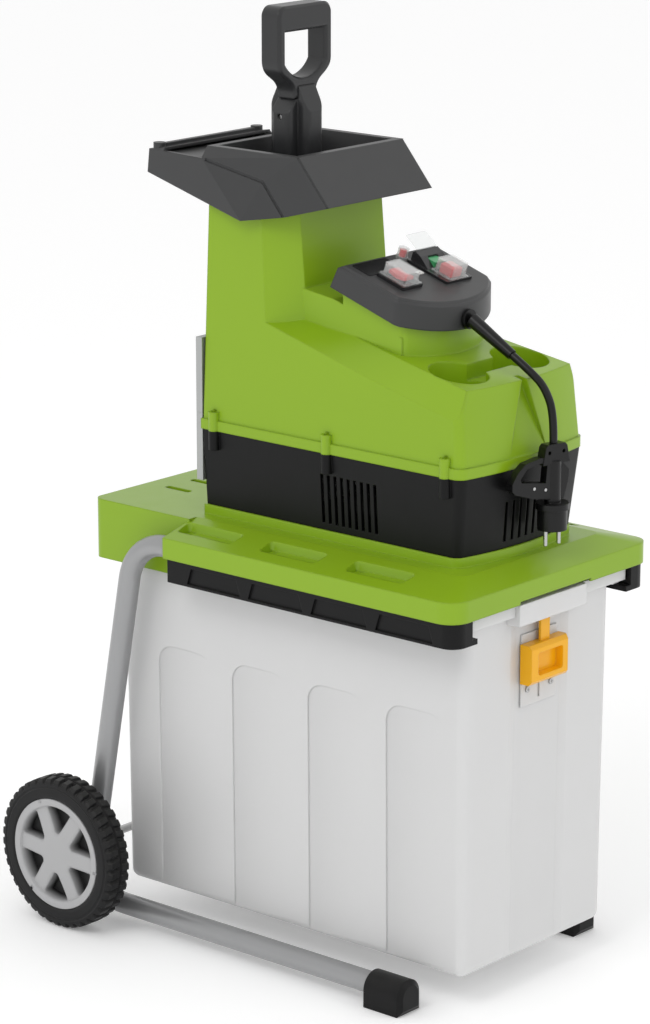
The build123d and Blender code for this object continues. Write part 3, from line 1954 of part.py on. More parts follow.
with BuildPart() as layshaft:
    add(
        gear_blank(
            lay_x,
            lay_z,
            stage_two_y,
            stage_two_pinion,
            stage_two_module,
            stage_two_t,
            mesh_two + pi + pi / stage_two_pinion,
            1,
        )
    )
    rod(lay_x, stage_two_y, lay_z, lay_shaft_r, lay_socket - seat_gap - stage_two_y, "y")
    rod(lay_x, stage_one_y - stage_one_t, lay_z, lay_shaft_r, stage_two_y - stage_one_y + stage_one_t, "y")
    add(
        gear_blank(
            lay_x,
            lay_z,
            stage_one_y,
            stage_one_gear,
            stage_one_module,
            stage_one_t,
            mesh_one,
            wheel_tip_share,
        )
    )
save(layshaft, "layshaft")

# Motor: rotor with pinion and fan, wound stator, end bell, and the gearbox that carries both
stator_rear_y = stator_front_y + stator_length
gearbox_front_y = stage_one_y - stage_one_t / 2 - gearbox_wall
bell_front_y = stator_front_y - winding_t - bell_t - gear_side_gap
fan_y = bell_front_y - gear_side_gap - fan_t
with BuildPart() as motor_rotor:
    rod(rotor_x, stator_front_y, lay_z, stator_bore_r - rotor_gap, stator_length, "y")
    rod(rotor_x, fan_y, lay_z, rotor_shaft_r, stage_one_y - fan_y, "y")
    add(
        gear_blank(
            rotor_x,
            lay_z,
            stage_one_y - edge_round,
            stage_one_pinion,
            stage_one_module,
            stage_one_t + 2 * edge_round,
            mesh_one + pi + pi / stage_one_pinion,
            1,
        )
    )
save(motor_rotor, "motor_rotor")

with BuildPart() as cooling_fan:
    rod(rotor_x, fan_y, lay_z, 2 * rotor_shaft_r, fan_t, "y")
    with Locations(Plane(origin=(rotor_x, fan_y + fan_t / 2, lay_z), z_dir=(0, 1, 0))):
        with PolarLocations((fan_r + rotor_shaft_r) / 2, fan_blades):
            with Locations(Rotation(fan_pitch, 0, 0)):
                Box(fan_r - rotor_shaft_r, fan_t, 2 * edge_round)
    slab(
        rotor_x - 2 * fan_r,
        rotor_x + 2 * fan_r,
        fan_y - fan_t,
        fan_y,
        lay_z - 2 * fan_r,
        lay_z + 2 * fan_r,
        Mode.SUBTRACT,
    )
    slab(
        rotor_x - 2 * fan_r,
        rotor_x + 2 * fan_r,
        fan_y + fan_t,
        fan_y + 2 * fan_t,
        lay_z - 2 * fan_r,
        lay_z + 2 * fan_r,
        Mode.SUBTRACT,
    )
    rod(
        rotor_x,
        fan_y - overrun,
        lay_z,
        rotor_shaft_r + seat_gap,
        fan_t + 2 * overrun,
        "y",
        Mode.SUBTRACT,
    )
save(cooling_fan, "cooling_fan")

with BuildPart() as motor_stator:
    rod(rotor_x, stator_front_y, lay_z, stator_r, stator_length, "y")
    rod(
        rotor_x,
        stator_front_y - overrun,
        lay_z,
        stator_bore_r,
        stator_length + 2 * overrun,
        "y",
        Mode.SUBTRACT,
    )
save(motor_stator, "motor_stator")

with BuildPart() as motor_windings:
    for start in (stator_front_y - winding_t, stator_rear_y):
        rod(rotor_x, start, lay_z, winding_r, winding_t, "y")
    rod(
        rotor_x,
        bell_front_y,
        lay_z,
        stator_bore_r + wall,
        stator_rear_y + 2 * winding_t - bell_front_y,
        "y",
        Mode.SUBTRACT,
    )
save(motor_windings, "motor_windings")

with BuildPart() as motor_end_bell:
    rod(rotor_x, bell_front_y, lay_z, stator_r, stator_front_y - bell_front_y, "y")
    rod(
        rotor_x,
        bell_front_y + bell_t,
        lay_z,
        stator_r - bell_t,
        stator_front_y - bell_front_y,
        "y",
        Mode.SUBTRACT,
    )
    with Locations(Plane(origin=(rotor_x, bell_front_y, lay_z), z_dir=(0, 1, 0))):
        with PolarLocations(winding_r - 3 * wall, fan_blades):
            Cylinder(2 * wall, 4 * bell_t, mode=Mode.SUBTRACT)
    rod(
        rotor_x,
        bell_front_y - overrun,
        lay_z,
        rotor_shaft_r + run_gap,
        4 * bell_t,
        "y",
        Mode.SUBTRACT,
    )
save(motor_end_bell, "motor_end_bell")

with BuildPart() as gearbox_housing:
    slab(
        gearbox_left_x,
        gearbox_right_x,
        gearbox_front_y,
        0,
        gearbox_low_z,
        gearbox_high_z,
    )
    slab(
        gearbox_left_x + gearbox_wall,
        gearbox_right_x - gearbox_wall,
        gearbox_front_y + gearbox_wall,
        overrun,
        gearbox_low_z + gearbox_wall,
        gearbox_high_z - gearbox_wall,
        Mode.SUBTRACT,
    )
    rod(rotor_x, stator_rear_y, lay_z, stator_r, gearbox_front_y - stator_rear_y, "y")
    rod(
        rotor_x,
        stator_rear_y - overrun,
        lay_z,
        stator_r - bell_t,
        gearbox_front_y - stator_rear_y + overrun,
        "y",
        Mode.SUBTRACT,
    )
    rod(lay_x, gearbox_front_y - lay_socket, lay_z, 2 * lay_shaft_r, lay_socket, "y")
    rod(
        rotor_x,
        gearbox_front_y - overrun,
        lay_z,
        rotor_shaft_r + run_gap,
        2 * gearbox_wall,
        "y",
        Mode.SUBTRACT,
    )
    rod(
        lay_x,
        gearbox_front_y - lay_socket + edge_round,
        lay_z,
        lay_shaft_r + run_gap,
        2 * gearbox_wall,
        "y",
        Mode.SUBTRACT,
    )
save(gearbox_housing, "gearbox_housing")

with BuildPart() as capacitor:
    rod(
        capacitor_x,
        stator_front_y - wall + seat_gap,
        capacitor_z,
        capacitor_r,
        capacitor_length - 2 * seat_gap,
        "y",
    )
    chamfer(capacitor.edges().filter_by(GeomType.CIRCLE), edge_round)
save(capacitor, "capacitor")

# Pressure plate beside the cutter, moved by a screw with a knob on the right side
plate_x = cutter_x + cutter_tip_r + plate_gap
plate_boss_x = plate_x + plate_t + plate_boss_length
with BuildPart() as pressure_plate:
    slab(
        plate_x,
        plate_x + plate_t,
        cutter_front_y - plate_gap / 2,
        cutter_front_y + cutter_length + plate_gap / 2,
        cutter_z - plate_half_z,
        cutter_z + plate_half_z,
    )
    rod(plate_x + plate_t / 2, knob_y, cutter_z, plate_boss_r, plate_boss_x - plate_x - plate_t / 2, "x")
    rod(
        plate_x + wall,
        knob_y,
        cutter_z,
        screw_r + run_gap,
        plate_boss_x,
        "x",
        Mode.SUBTRACT,
    )
save(pressure_plate, "pressure_plate")

with BuildPart() as adjusting_screw:
    screw_start = plate_x + wall + plate_travel + body_gap
    rod(screw_start, knob_y, cutter_z, screw_r, knob_x + knob_t / 2 - screw_start, "x")
save(adjusting_screw, "adjusting_screw")

with BuildPart() as adjusting_knob:
    rod(knob_x, knob_y, cutter_z, knob_r, knob_t, "x")
    with Locations(Plane(origin=(knob_x + knob_t / 2, knob_y, cutter_z), z_dir=(1, 0, 0))):
        with PolarLocations(knob_r + wall / 2, knob_lobes):
            Cylinder(2 * wall, knob_t + overrun, mode=Mode.SUBTRACT)
    rod(
        knob_x - overrun,
        knob_y,
        cutter_z,
        screw_r + seat_gap,
        knob_t / 2 + overrun + seat_gap,
        "x",
        Mode.SUBTRACT,
    )
save(adjusting_knob, "adjusting_knob")

# Safety switch under the deck, behind the catch of the latch
with BuildPart() as safety_switch:
    slab(
        2 * wall + latch_stem_half,
        2 * wall + latch_stem_half + switch_width,
        catch_y + wall,
        catch_y + wall + switch_depth,
        deck_ceiling_z - switch_height,
        deck_ceiling_z,
    )
    slab(
        2 * wall + latch_stem_half + switch_width / 2 - edge_round,
        2 * wall + latch_stem_half + switch_width / 2 + edge_round,
        catch_y + wall + switch_depth / 4,
        catch_y + wall + switch_depth / 2,
        deck_ceiling_z - switch_height - wall,
        deck_ceiling_z - switch_height / 2,
    )
save(safety_switch, "safety_switch")


# Controls: everything below is modelled flat and laid on the sloping top of the panel
panel_origin = (0, panel_mid_y, panel_mid_z + panel_t)
panel_top = Plane(
    origin=panel_origin, x_dir=(1, 0, 0), z_dir=(0, -sin(radians(panel_slope)), panel_cos)
)


def place(x, y, height=0):
    """A spot on the panel top, given by its x and y, raised by height."""
    return (x, (y - panel_mid_y) / panel_cos, height)


def plate(spot, size, height=0, radius=edge_round, mode=Mode.ADD):
    """A rounded block on the panel top: width, length and height."""
    with BuildSketch(panel_top.offset(height)) as outline:
        with Locations(place(*spot)[:2]):
            RectangleRounded(size[0], size[1], radius)
    extrude(outline.sketch, amount=size[2], dir=panel_top.z_dir, mode=mode)


def clear_cover(spot, size, height):
    """A thin clear box, open below, with a flat rim as its foot."""
    inner = (size[0] - 2 * cover_t, size[1] - 2 * cover_t, size[2] - cover_t + overrun)
    rim = (size[0] + 2 * cover_rim, size[1] + 2 * cover_rim, cover_foot)
    with BuildPart() as cover:
        plate(spot, size, height, 2 * edge_round)
        plate(spot, rim, height)
        plate(spot, inner, height - overrun, edge_round, Mode.SUBTRACT)
    return cover.part


with BuildPart() as panel_inlay:
    plate(inlay_place, inlay_size, 0, 2 * edge_round)
save(panel_inlay, "panel_inlay")

with BuildPart() as selector_seat_part:
    plate(selector_place, selector_seat)
save(selector_seat_part, "selector_seat")

with BuildPart() as direction_rocker:
    rocker_x, rocker_s, _ = place(*selector_place)
    rocker_plane = Plane(
        origin=panel_top.from_local_coords((rocker_x - rocker_half, rocker_s, 0)),
        x_dir=panel_top.y_dir,
        z_dir=panel_top.x_dir,
    )
    with BuildSketch(rocker_plane):
        with BuildLine():
            Polyline(
                (-rocker_reach, rocker_low + rocker_rise),
                (0, rocker_low),
                (rocker_reach, rocker_low + rocker_rise),
                (rocker_reach, rocker_top),
                (0, rocker_top - rocker_dip),
                (-rocker_reach, rocker_top),
                close=True,
            )
        make_face()
    extrude(amount=2 * rocker_half)
save(direction_rocker, "direction_rocker")

with BuildPart() as selector_cover_part:
    add(clear_cover(selector_place, selector_cover, selector_seat[2]))
save(selector_cover_part, "selector_cover")

with BuildPart() as reset_button:
    with BuildSketch(panel_top.offset(button_seat + button_travel)):
        with Locations(place(*reset_place)[:2]):
            Circle(reset_r)
    extrude(amount=reset_h)
save(reset_button, "reset_button")

with BuildPart() as reset_cap:
    with BuildSketch(panel_top):
        with Locations(place(*reset_place)[:2]):
            Circle(reset_seat_r)
    extrude(amount=wall)
    with BuildSketch(panel_top):
        with Locations(place(*reset_place)[:2]):
            Circle(reset_cap_r)
    extrude(amount=reset_cap_h)
    with BuildSketch(panel_top.offset(wall)):
        with Locations(place(*reset_place)[:2]):
            Circle(reset_cap_r - cover_t)
    extrude(amount=reset_cap_h - wall - cover_t, mode=Mode.SUBTRACT)
    with BuildSketch(panel_top.offset(-overrun)):
        with Locations(place(*reset_place)[:2]):
            Circle(reset_r + run_gap)
    extrude(amount=overrun + 2 * wall, mode=Mode.SUBTRACT)
save(reset_cap, "reset_cap")

with BuildPart() as switch_bezel:
    plate(bezel_place, bezel_size)
    bezel_x, bezel_s, _ = place(*bezel_place)
    wedge_plane = Plane(
        origin=panel_top.from_local_coords((bezel_x - bezel_size[0] / 2 + wall, bezel_s, 0)),
        x_dir=panel_top.y_dir,
        z_dir=panel_top.x_dir,
    )
    with BuildSketch(wedge_plane):
        with BuildLine():
            Polyline(
                (bezel_size[1] / 2 - wall, bezel_size[2] / 2),
                (bezel_size[1] / 2 - wall, wedge_high - wall),
                (bezel_size[1] / 2 - 2 * wall, wedge_high),
                (bezel_size[1] / 2 - 2 * wall - wedge_top, wedge_high - wall),
                (bezel_size[1] / 2 - 2 * wall - wedge_length, bezel_size[2]),
                (bezel_size[1] / 2 - 2 * wall - wedge_length, bezel_size[2] / 2),
                close=True,
            )
        make_face()
    extrude(amount=bezel_size[0] - 2 * wall)
    plate(
        start_place,
        (start_size[0] + body_gap, start_size[1] + body_gap, 2 * wedge_high),
        button_seat,
        edge_round,
        Mode.SUBTRACT,
    )
    plate(
        stop_place,
        (stop_size[0] + body_gap, stop_size[1] + body_gap, wedge_high),
        button_seat,
        edge_round,
        Mode.SUBTRACT,
    )
save(switch_bezel, "switch_bezel")

for spot, size, name in (
    (start_place, start_size, "start_button"),
    (stop_place, stop_size, "stop_button"),
):
    with BuildPart() as button:
        plate(spot, size, button_seat + button_travel + run_gap)
    save(button, name)

with BuildPart() as stop_cover_part:
    add(clear_cover(stop_place, stop_cover, bezel_size[2]))
save(stop_cover_part, "stop_cover")

with BuildPart() as start_flap:
    flap_s = bezel_s + bezel_size[1] / 2 - 2 * wall
    hinge = panel_top.from_local_coords((start_place[0], flap_s, wedge_high + seat_gap))
    flap_plane = Plane(origin=hinge, x_dir=panel_top.x_dir, z_dir=panel_top.z_dir)
    with BuildSketch(flap_plane.rotated((flap_tilt, 0, 0))):
        with Locations((0, flap_size[1] / 2)):
            RectangleRounded(flap_size[0], flap_size[1], edge_round)
    extrude(amount=flap_size[2])
save(start_flap, "start_flap")

with BuildPart() as indicator:
    plate(indicator_place, indicator_size)
save(indicator, "indicator")

# Cord: collar and bend relief, the cord itself, and the plug that hangs in front of the head
with BuildPart() as cord_boot:
    front_y = panel_front_y - collar_t - seat_gap
    rod(0, front_y, boot_z, collar_r, collar_t, "y")
    run = Vector(*boot_end) - Vector(0, front_y - collar_t / 2, boot_z)
    with Locations(Plane(origin=boot_end, x_dir=(1, 0, 0), z_dir=run)):
        Cone(boot_r, boot_tip_r, run.length, align=(Align.CENTER, Align.CENTER, Align.MAX))
save(cord_boot, "cord_boot")


def bend_radii(points):
    """Arc radius at every inner point: arcs may use up 0.45 of the shorter run beside them."""
    places = [Vector(*point) for point in points]
    radii = []
    for before, corner, after in zip(places, places[1:], places[2:]):
        turn = radians((corner - before).get_angle(after - corner))
        shorter = min((corner - before).length, (after - corner).length)
        radii.append(arc_share * shorter / tan(turn / 2))
    return radii


cord_radii = bend_radii(cord_points)
print("cord bend radii", [round(radius, 1) for radius in cord_radii])
with BuildPart() as power_cord:
    with BuildLine() as cord_route:
        FilletPolyline(*cord_points, radius=cord_radii)
    add(bent_rod(cord_route, cord_d / 2))
print("cord volume", power_cord.part.volume, cord_route.wire().length * pi * cord_d**2 / 4)
save(power_cord, "power_cord")

plug_plane = Plane(
    origin=(plug_x, plug_y, 0),
    x_dir=(cos(radians(plug_turn)), sin(radians(plug_turn)), 0),
    z_dir=(sin(radians(plug_turn)), -cos(radians(plug_turn)), 0),
)
with BuildPart() as plug_body:
    with BuildSketch(plug_plane.offset(-lug_t / 2)):
        with BuildLine():
            Polyline(
                (-lug_half_top, plug_top_z - wall),
                (wall - lug_half_top, plug_top_z),
                (lug_half_top - wall, plug_top_z),
                (lug_half_top, plug_top_z - wall),
                (lug_half_low, lug_low_z),
                (-lug_half_low, lug_low_z),
                close=True,
            )
        make_face()
        with Locations((-eyelet_x, eyelet_z), (eyelet_x, eyelet_z)):
            Circle(eyelet_r, mode=Mode.SUBTRACT)
    extrude(amount=lug_t)
    with BuildSketch(plug_plane.offset(-loop_t / 2)):
        with BuildLine():
            Polyline(*loop_outer, close=True)
        make_face()
        with BuildLine():
            Polyline(*loop_hole, close=True)
        make_face(mode=Mode.SUBTRACT)
    extrude(amount=loop_t)
    rod(plug_x, plug_y, plug_low_z, plug_r, plug_flange_z - plug_low_z + wall, "z")
    rod(plug_x, plug_y, plug_flange_z, plug_flange_r, plug_flange_t, "z")
    rod(plug_x, plug_y, plug_flange_z, plug_core_r, lug_low_z + wall - plug_flange_z, "z")
    with Locations(
        *[
            Plane(
                origin=plug_plane.from_local_coords((u, z, loop_t / 2)), z_dir=plug_plane.z_dir
            ).location
            for u, z in loop_screws
        ]
    ):
        Cylinder(loop_screw_r + seat_gap, 2 * wall, mode=Mode.SUBTRACT)
    for side in (-1, 1):
        pin = plug_plane.from_local_coords((side * plug_pin_x, 0, 0))
        rod(
            pin.X,
            pin.Y,
            plug_low_z - overrun,
            plug_pin_r + seat_gap,
            4 * wall + overrun,
            "z",
            Mode.SUBTRACT,
        )
save(plug_body, "plug_body")

with BuildPart() as plug_pins:
    for side in (-1, 1):
        pin = plug_plane.from_local_coords((side * plug_pin_x, 0, 0))
        rod(
            pin.X,
            pin.Y,
            plug_low_z - plug_pin_length,
            plug_pin_r,
            plug_pin_length + 4 * wall - seat_gap,
            "z",
        )
    chamfer(plug_pins.edges().group_by(Axis.Z)[0], edge_round)
    with Locations(
        *[
            Plane(
                origin=plug_plane.from_local_coords((u, z, loop_t / 2 - wall / 2)),
                z_dir=plug_plane.z_dir,
            ).location
            for u, z in loop_screws
        ]
    ):
        Cylinder(loop_screw_r, wall)
save(plug_pins, "plug_pins")
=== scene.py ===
import math

import bpy
import numpy as np
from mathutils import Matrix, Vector


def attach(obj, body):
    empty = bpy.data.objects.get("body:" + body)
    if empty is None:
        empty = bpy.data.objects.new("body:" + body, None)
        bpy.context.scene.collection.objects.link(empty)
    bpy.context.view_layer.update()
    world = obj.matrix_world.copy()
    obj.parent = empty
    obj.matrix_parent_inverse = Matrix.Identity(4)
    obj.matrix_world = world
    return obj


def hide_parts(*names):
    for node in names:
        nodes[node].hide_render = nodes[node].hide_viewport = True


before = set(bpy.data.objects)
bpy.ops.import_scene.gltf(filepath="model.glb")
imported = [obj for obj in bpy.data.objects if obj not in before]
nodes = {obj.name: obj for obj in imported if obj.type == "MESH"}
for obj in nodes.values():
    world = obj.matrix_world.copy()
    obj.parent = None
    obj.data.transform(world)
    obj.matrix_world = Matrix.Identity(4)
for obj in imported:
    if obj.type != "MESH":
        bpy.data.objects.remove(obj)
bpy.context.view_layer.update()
print("frame loaded:", len(nodes), "nodes")

world = bpy.context.scene.world or bpy.data.worlds.new("studio")
bpy.context.scene.world = world
bpy.context.scene.view_settings.view_transform = "Standard"


def addObject(name, data):
    made = bpy.data.objects.new(name, data)
    bpy.context.scene.collection.objects.link(made)
    return made


# camera at the photo's angle: metres, degrees, and millimetres for the lens and the frame's height
cameraLook = {
    "place": (-3.0756, -2.6409, 1.561),
    "tilt": 75.27,
    "turn": -49.22,
    "lens": 129.29,
    "frame": 36,
    "reach": 60,
}


def makeCamera(look):
    data = bpy.data.cameras.new("camera")
    data.sensor_fit = "VERTICAL"
    data.sensor_height = look["frame"]
    data.lens = look["lens"]
    data.clip_end = look["reach"]
    camera = addObject("camera", data)
    camera.location = look["place"]
    camera.rotation_euler = (math.radians(look["tilt"]), 0, math.radians(look["turn"]))
    bpy.context.scene.camera = camera


makeCamera(cameraLook)

# mains cord: from the bend relief down to the plug, the points of its route in metres
cordLook = {
    "points": [
        (0.005, -0.251, 0.713),
        (0.00727, -0.27452, 0.69799),
        (0.013, -0.29, 0.682),
        (0.013, -0.303, 0.655),
        (0.013, -0.303, 0.622),
    ],
    "diameter": 0.009,
    "length": 0.113,
    "sides": 6,
    "smoothness": 16,
}


def makeCord(look):
    curve = bpy.data.curves.new("powerCord", "CURVE")
    curve.dimensions = "3D"
    curve.bevel_depth = 1  # times the radius of each point, which also sets the object's box
    curve.bevel_resolution = look["sides"]
    curve.resolution_u = look["smoothness"]
    curve.use_fill_caps = True
    spline = curve.splines.new("NURBS")
    spline.points.add(len(look["points"]) - 1)
    for point, place in zip(spline.points, look["points"]):
        point.co = (*place, 1)
        point.radius = look["diameter"] / 2
    spline.order_u = 3
    spline.use_endpoint_u = True
    cord = addObject("powerCord", curve)
    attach(cord, "machine")
    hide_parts("power_cord")
    return cord


powerCord = makeCord(cordLook)
print("camera and cord made")


# shader groups: each puts out only what varies over the surface
def newGroup(name, inputs, outputs):
    group = bpy.data.node_groups.new(name, "ShaderNodeTree")
    for label, kind, value in inputs:
        socket = group.interface.new_socket(label, in_out="INPUT", socket_type=kind)
        if value is not None:
            socket.default_value = value
    for label, kind in outputs:
        group.interface.new_socket(label, in_out="OUTPUT", socket_type=kind)
    tree = group.nodes
    return group, tree.new("NodeGroupInput"), tree.new("NodeGroupOutput")


def put(group, kind, **values):
    node = group.nodes.new(kind)
    for key, value in values.items():
        setattr(node, key, value)
    return node


def setInputs(node, values):
    for label, value in values.items():
        node.inputs[label].default_value = value


def feed(group, value, socket):
    # a number is set, the output of another node is linked
    if isinstance(value, (int, float)):
        socket.default_value = value
    else:
        group.links.new(value, socket)


def maths(group, operation, a, b=0.0, c=0.0, clamp=False):
    node = put(group, "ShaderNodeMath", operation=operation, use_clamp=clamp)
    for socket, value in zip(node.inputs, (a, b, c)):
        feed(group, value, socket)
    return node.outputs[0]


def noise(group, vector, scale, detail, roughness=0.55):
    node = put(group, "ShaderNodeTexNoise")
    group.links.new(vector, node.inputs["Vector"])
    feed(group, scale, node.inputs["Scale"])
    setInputs(node, {"Detail": detail, "Roughness": roughness})
    return node.outputs["Fac"]


# noise behind the groups: scale, detail and roughness of each
groupLook = {
    "grainDetail": 2.0,
    "drift": (7.0, 3.0),
    "rub": (38.0, 4.0, 0.65),
    "edgeBreak": (90.0, 4.0, 0.7),
    "edgeGain": 3.0,
    "edgeSamples": 4,
}


def makeSurfaceGroup():
    # grain is fine noise, drift is slow noise, rub is noise that shifts the roughness in patches
    group, start, end = newGroup(
        "surfaceFinish",
        [
            ("Colour", "NodeSocketColor", (0.5, 0.5, 0.5, 1)),
            ("Grain Scale", "NodeSocketFloat", 1200.0),
            ("Drift", "NodeSocketFloat", 0.05),
            ("Roughness", "NodeSocketFloat", 0.4),
            ("Roughness Spread", "NodeSocketFloat", 0.06),
            ("Dust", "NodeSocketFloat", 0.0),
            ("Dust Colour", "NodeSocketColor", (0.4, 0.39, 0.36, 1)),
        ],
        [
            ("Colour", "NodeSocketColor"),
            ("Roughness", "NodeSocketFloat"),
            ("Height", "NodeSocketFloat"),
        ],
    )
    links = group.links
    place = put(group, "ShaderNodeTexCoord").outputs["Object"]
    grain = noise(group, place, start.outputs["Grain Scale"], groupLook["grainDetail"])
    drift = noise(group, place, *groupLook["drift"])
    rub = noise(group, place, *groupLook["rub"])
    # colour: the base made lighter and darker by the drift
    shift = maths(group, "SUBTRACT", drift, 0.5)
    shift = maths(group, "MULTIPLY", shift, start.outputs["Drift"])
    shift = maths(group, "MULTIPLY_ADD", shift, 2.0, 1.0)
    bright = put(group, "ShaderNodeVectorMath", operation="SCALE")
    links.new(start.outputs["Colour"], bright.inputs[0])
    links.new(shift, bright.inputs["Scale"])
    # dust: on faces that look up, in patches
    facing = put(group, "ShaderNodeSeparateXYZ")
    links.new(put(group, "ShaderNodeNewGeometry").outputs["Normal"], facing.inputs[0])
    up = maths(group, "MULTIPLY", facing.outputs["Z"], 1.0, clamp=True)
    patch = maths(group, "MULTIPLY", rub, up)
    dust = maths(group, "MULTIPLY", patch, start.outputs["Dust"], clamp=True)
    mix = put(group, "ShaderNodeMix", data_type="RGBA")
    links.new(dust, mix.inputs["Factor"])
    links.new(bright.outputs[0], mix.inputs["A"])
    links.new(start.outputs["Dust Colour"], mix.inputs["B"])
    links.new(mix.outputs["Result"], end.inputs["Colour"])
    # roughness: the base made duller and shinier by the rub
    spread = maths(group, "SUBTRACT", rub, 0.5)
    spread = maths(group, "MULTIPLY", spread, start.outputs["Roughness Spread"])
    spread = maths(group, "MULTIPLY", spread, 2.0)
    rough = maths(group, "ADD", start.outputs["Roughness"], spread, clamp=True)
    links.new(rough, end.inputs["Roughness"])
    links.new(grain, end.inputs["Height"])
    return group


def makeEdgeGroup():
    # rounded normal from a bevel over the mesh edges, and a mask where it leaves the flat normal
    group, start, end = newGroup(
        "softEdge",
        [("Radius", "NodeSocketFloat", 0.001), ("Wear", "NodeSocketFloat", 0.3)],
        [("Normal", "NodeSocketVector"), ("Edge", "NodeSocketFloat")],
    )
    links = group.links
    bevel = put(group, "ShaderNodeBevel", samples=groupLook["edgeSamples"])
    links.new(start.outputs["Radius"], bevel.inputs["Radius"])
    flat = put(group, "ShaderNodeNewGeometry").outputs["Normal"]
    dot = put(group, "ShaderNodeVectorMath", operation="DOT_PRODUCT")
    links.new(bevel.outputs[0], dot.inputs[0])
    links.new(flat, dot.inputs[1])
    leave = maths(group, "SUBTRACT", 1.0, dot.outputs["Value"], clamp=True)
    place = put(group, "ShaderNodeTexCoord").outputs["Object"]
    broken = noise(group, place, *groupLook["edgeBreak"])
    edge = maths(group, "MULTIPLY", leave, groupLook["edgeGain"], clamp=True)
    edge = maths(group, "MULTIPLY", edge, broken, clamp=True)
    edge = maths(group, "MULTIPLY", edge, start.outputs["Wear"], clamp=True)
    links.new(bevel.outputs[0], end.inputs["Normal"])
    links.new(edge, end.inputs["Edge"])
    return group


surfaceFinish = makeSurfaceGroup()
softEdge = makeEdgeGroup()

# tyres: a profile turned round the axle line, its tread band pressed in by crossed grooves
tyreLook = {
    "centre": (0.23, 0.09),
    "outer": 0.228,
    "radius": 0.09,
    "steps": 756,
    "lugs": 42,
    "depth": 0.0034,
    "centreGroove": 0.1,
    "crossGroove": 0.36,
    "slant": 0.22,
    "treadHalf": 0.0175,
    "band": (0.0835, 0.0875),
    "crown": 0.0007,
    "crossSoft": 0.14,
    "barRise": 0.06,
    "grooveFall": (-0.05, 0.03),
    "middleShare": 0.8,
}
# (distance in from the outer face, radius, samples to the next point), in metres
tyreProfile = [
    (0.0524, 0.00505, 2),
    (0.0524, 0.015, 3),
    (0.0225, 0.015, 2),
    (0.0225, 0.0633, 2),
    (0.0305, 0.0633, 2),
    (0.0350, 0.0693, 4),
    (0.0350, 0.0800, 3),
    (0.0338, 0.0862, 3),
    (0.0310, 0.0893, 44),
    (0.0040, 0.0893, 3),
    (0.0012, 0.0862, 3),
    (0.0004, 0.0818, 2),
    (0.0009, 0.0808, 2),
    (0.0009, 0.0792, 2),
    (0.0000, 0.0780, 4),
    (0.0000, 0.0690, 2),
    (0.0010, 0.0667, 2),
    (0.0025, 0.0663, 2),
    (0.0062, 0.0663, 2),
    (0.0062, 0.0633, 3),
    (0.0175, 0.0633, 3),
    (0.0175, 0.00505, 3),
]


def smoothStep(low, high, value):
    # 0 up to low, 1 from high on, and between them three times the square less twice the cube
    part = np.clip((value - low) / (high - low), 0, 1)
    return part * part * (3 - 2 * part)


sharpAngle = math.radians(34)


def addMesh(name, points, faces):
    mesh = bpy.data.meshes.new(name)
    mesh.from_pydata(points.tolist(), [], faces.tolist())
    mesh.validate()
    mesh.update()
    mesh.polygons.foreach_set("use_smooth", np.ones(len(mesh.polygons), dtype=bool))
    mesh.set_sharp_from_angle(angle=sharpAngle)
    return addObject(name, mesh)


def gridFaces(rows, columns, flip):
    # quads of a grid closed in both directions
    row, column = np.meshgrid(np.arange(rows), np.arange(columns), indexing="ij")
    nextRow, nextColumn = (row + 1) % rows, (column + 1) % columns
    corners = [row * columns + column, row * columns + nextColumn]
    corners += [nextRow * columns + nextColumn, nextRow * columns + column]
    quads = np.stack(corners, axis=-1).reshape(-1, 4)
    return quads[:, ::-1] if flip else quads


def wheelPoints(side, depth, radius, angle):
    # x is the distance in from the outer face, y and z the sine and cosine of the turn times radius
    centreY, centreZ = tyreLook["centre"]
    x = side * (tyreLook["outer"] - depth) + 0 * angle
    y = centreY + radius * np.sin(angle)
    z = centreZ + radius * np.cos(angle)
    return np.stack([x, y, z], axis=-1).reshape(-1, 3)


def standIn(piece, node, body):
    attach(piece, body)
    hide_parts(node)
    return piece


def makeTyre(name, side, look, node, body):
    # point = turn of (depth, r - depth of groove); a groove is cut where the phase of the cross
    # bars, lugs * angle / 2 pi + half a step for the inner row, falls in the groove's share
    depth, radius = [], []
    for (x0, r0, count), (x1, r1, _) in zip(tyreProfile, tyreProfile[1:] + tyreProfile[:1]):
        share = np.arange(count) / count
        depth.append(x0 + (x1 - x0) * share)
        radius.append(r0 + (r1 - r0) * share)
    depth, radius = np.concatenate(depth), np.concatenate(radius)
    angle = np.linspace(0, 2 * math.pi, look["steps"], endpoint=False)[:, None]
    across = (depth - look["treadHalf"]) / look["treadHalf"]
    inner = (across > 0) * 1.0
    phase = angle * look["lugs"] / (2 * math.pi) + 0.5 * inner + look["slant"] * np.abs(across)
    phase = np.abs(phase % 1 - 0.5) * 2
    wide, soft = look["crossGroove"], look["crossSoft"]
    cross = 1 - smoothStep(wide - soft, wide + soft, phase)
    centre = look["centreGroove"]
    cross = cross * smoothStep(centre, centre + look["barRise"], np.abs(across))
    inside, outside = look["grooveFall"]
    middle = 1 - smoothStep(centre + inside, centre + outside, np.abs(across))
    grooves = np.maximum(cross, middle * look["middleShare"])
    crown = look["crown"] * (1 - across**2)
    pressed = radius + smoothStep(*look["band"], radius) * (crown - look["depth"] * grooves)
    pressed = np.minimum(pressed, look["radius"])
    points = wheelPoints(side, depth, pressed, angle)
    piece = addMesh(name, points, gridFaces(len(angle), len(depth), side < 0))
    return standIn(piece, node, body)


tyres = [
    makeTyre("tyreLeft", -1, tyreLook, "wheel_tyre_left", "wheel_left"),
    makeTyre("tyreRight", 1, tyreLook, "wheel_tyre_right", "wheel_right"),
]
print("tyres made")

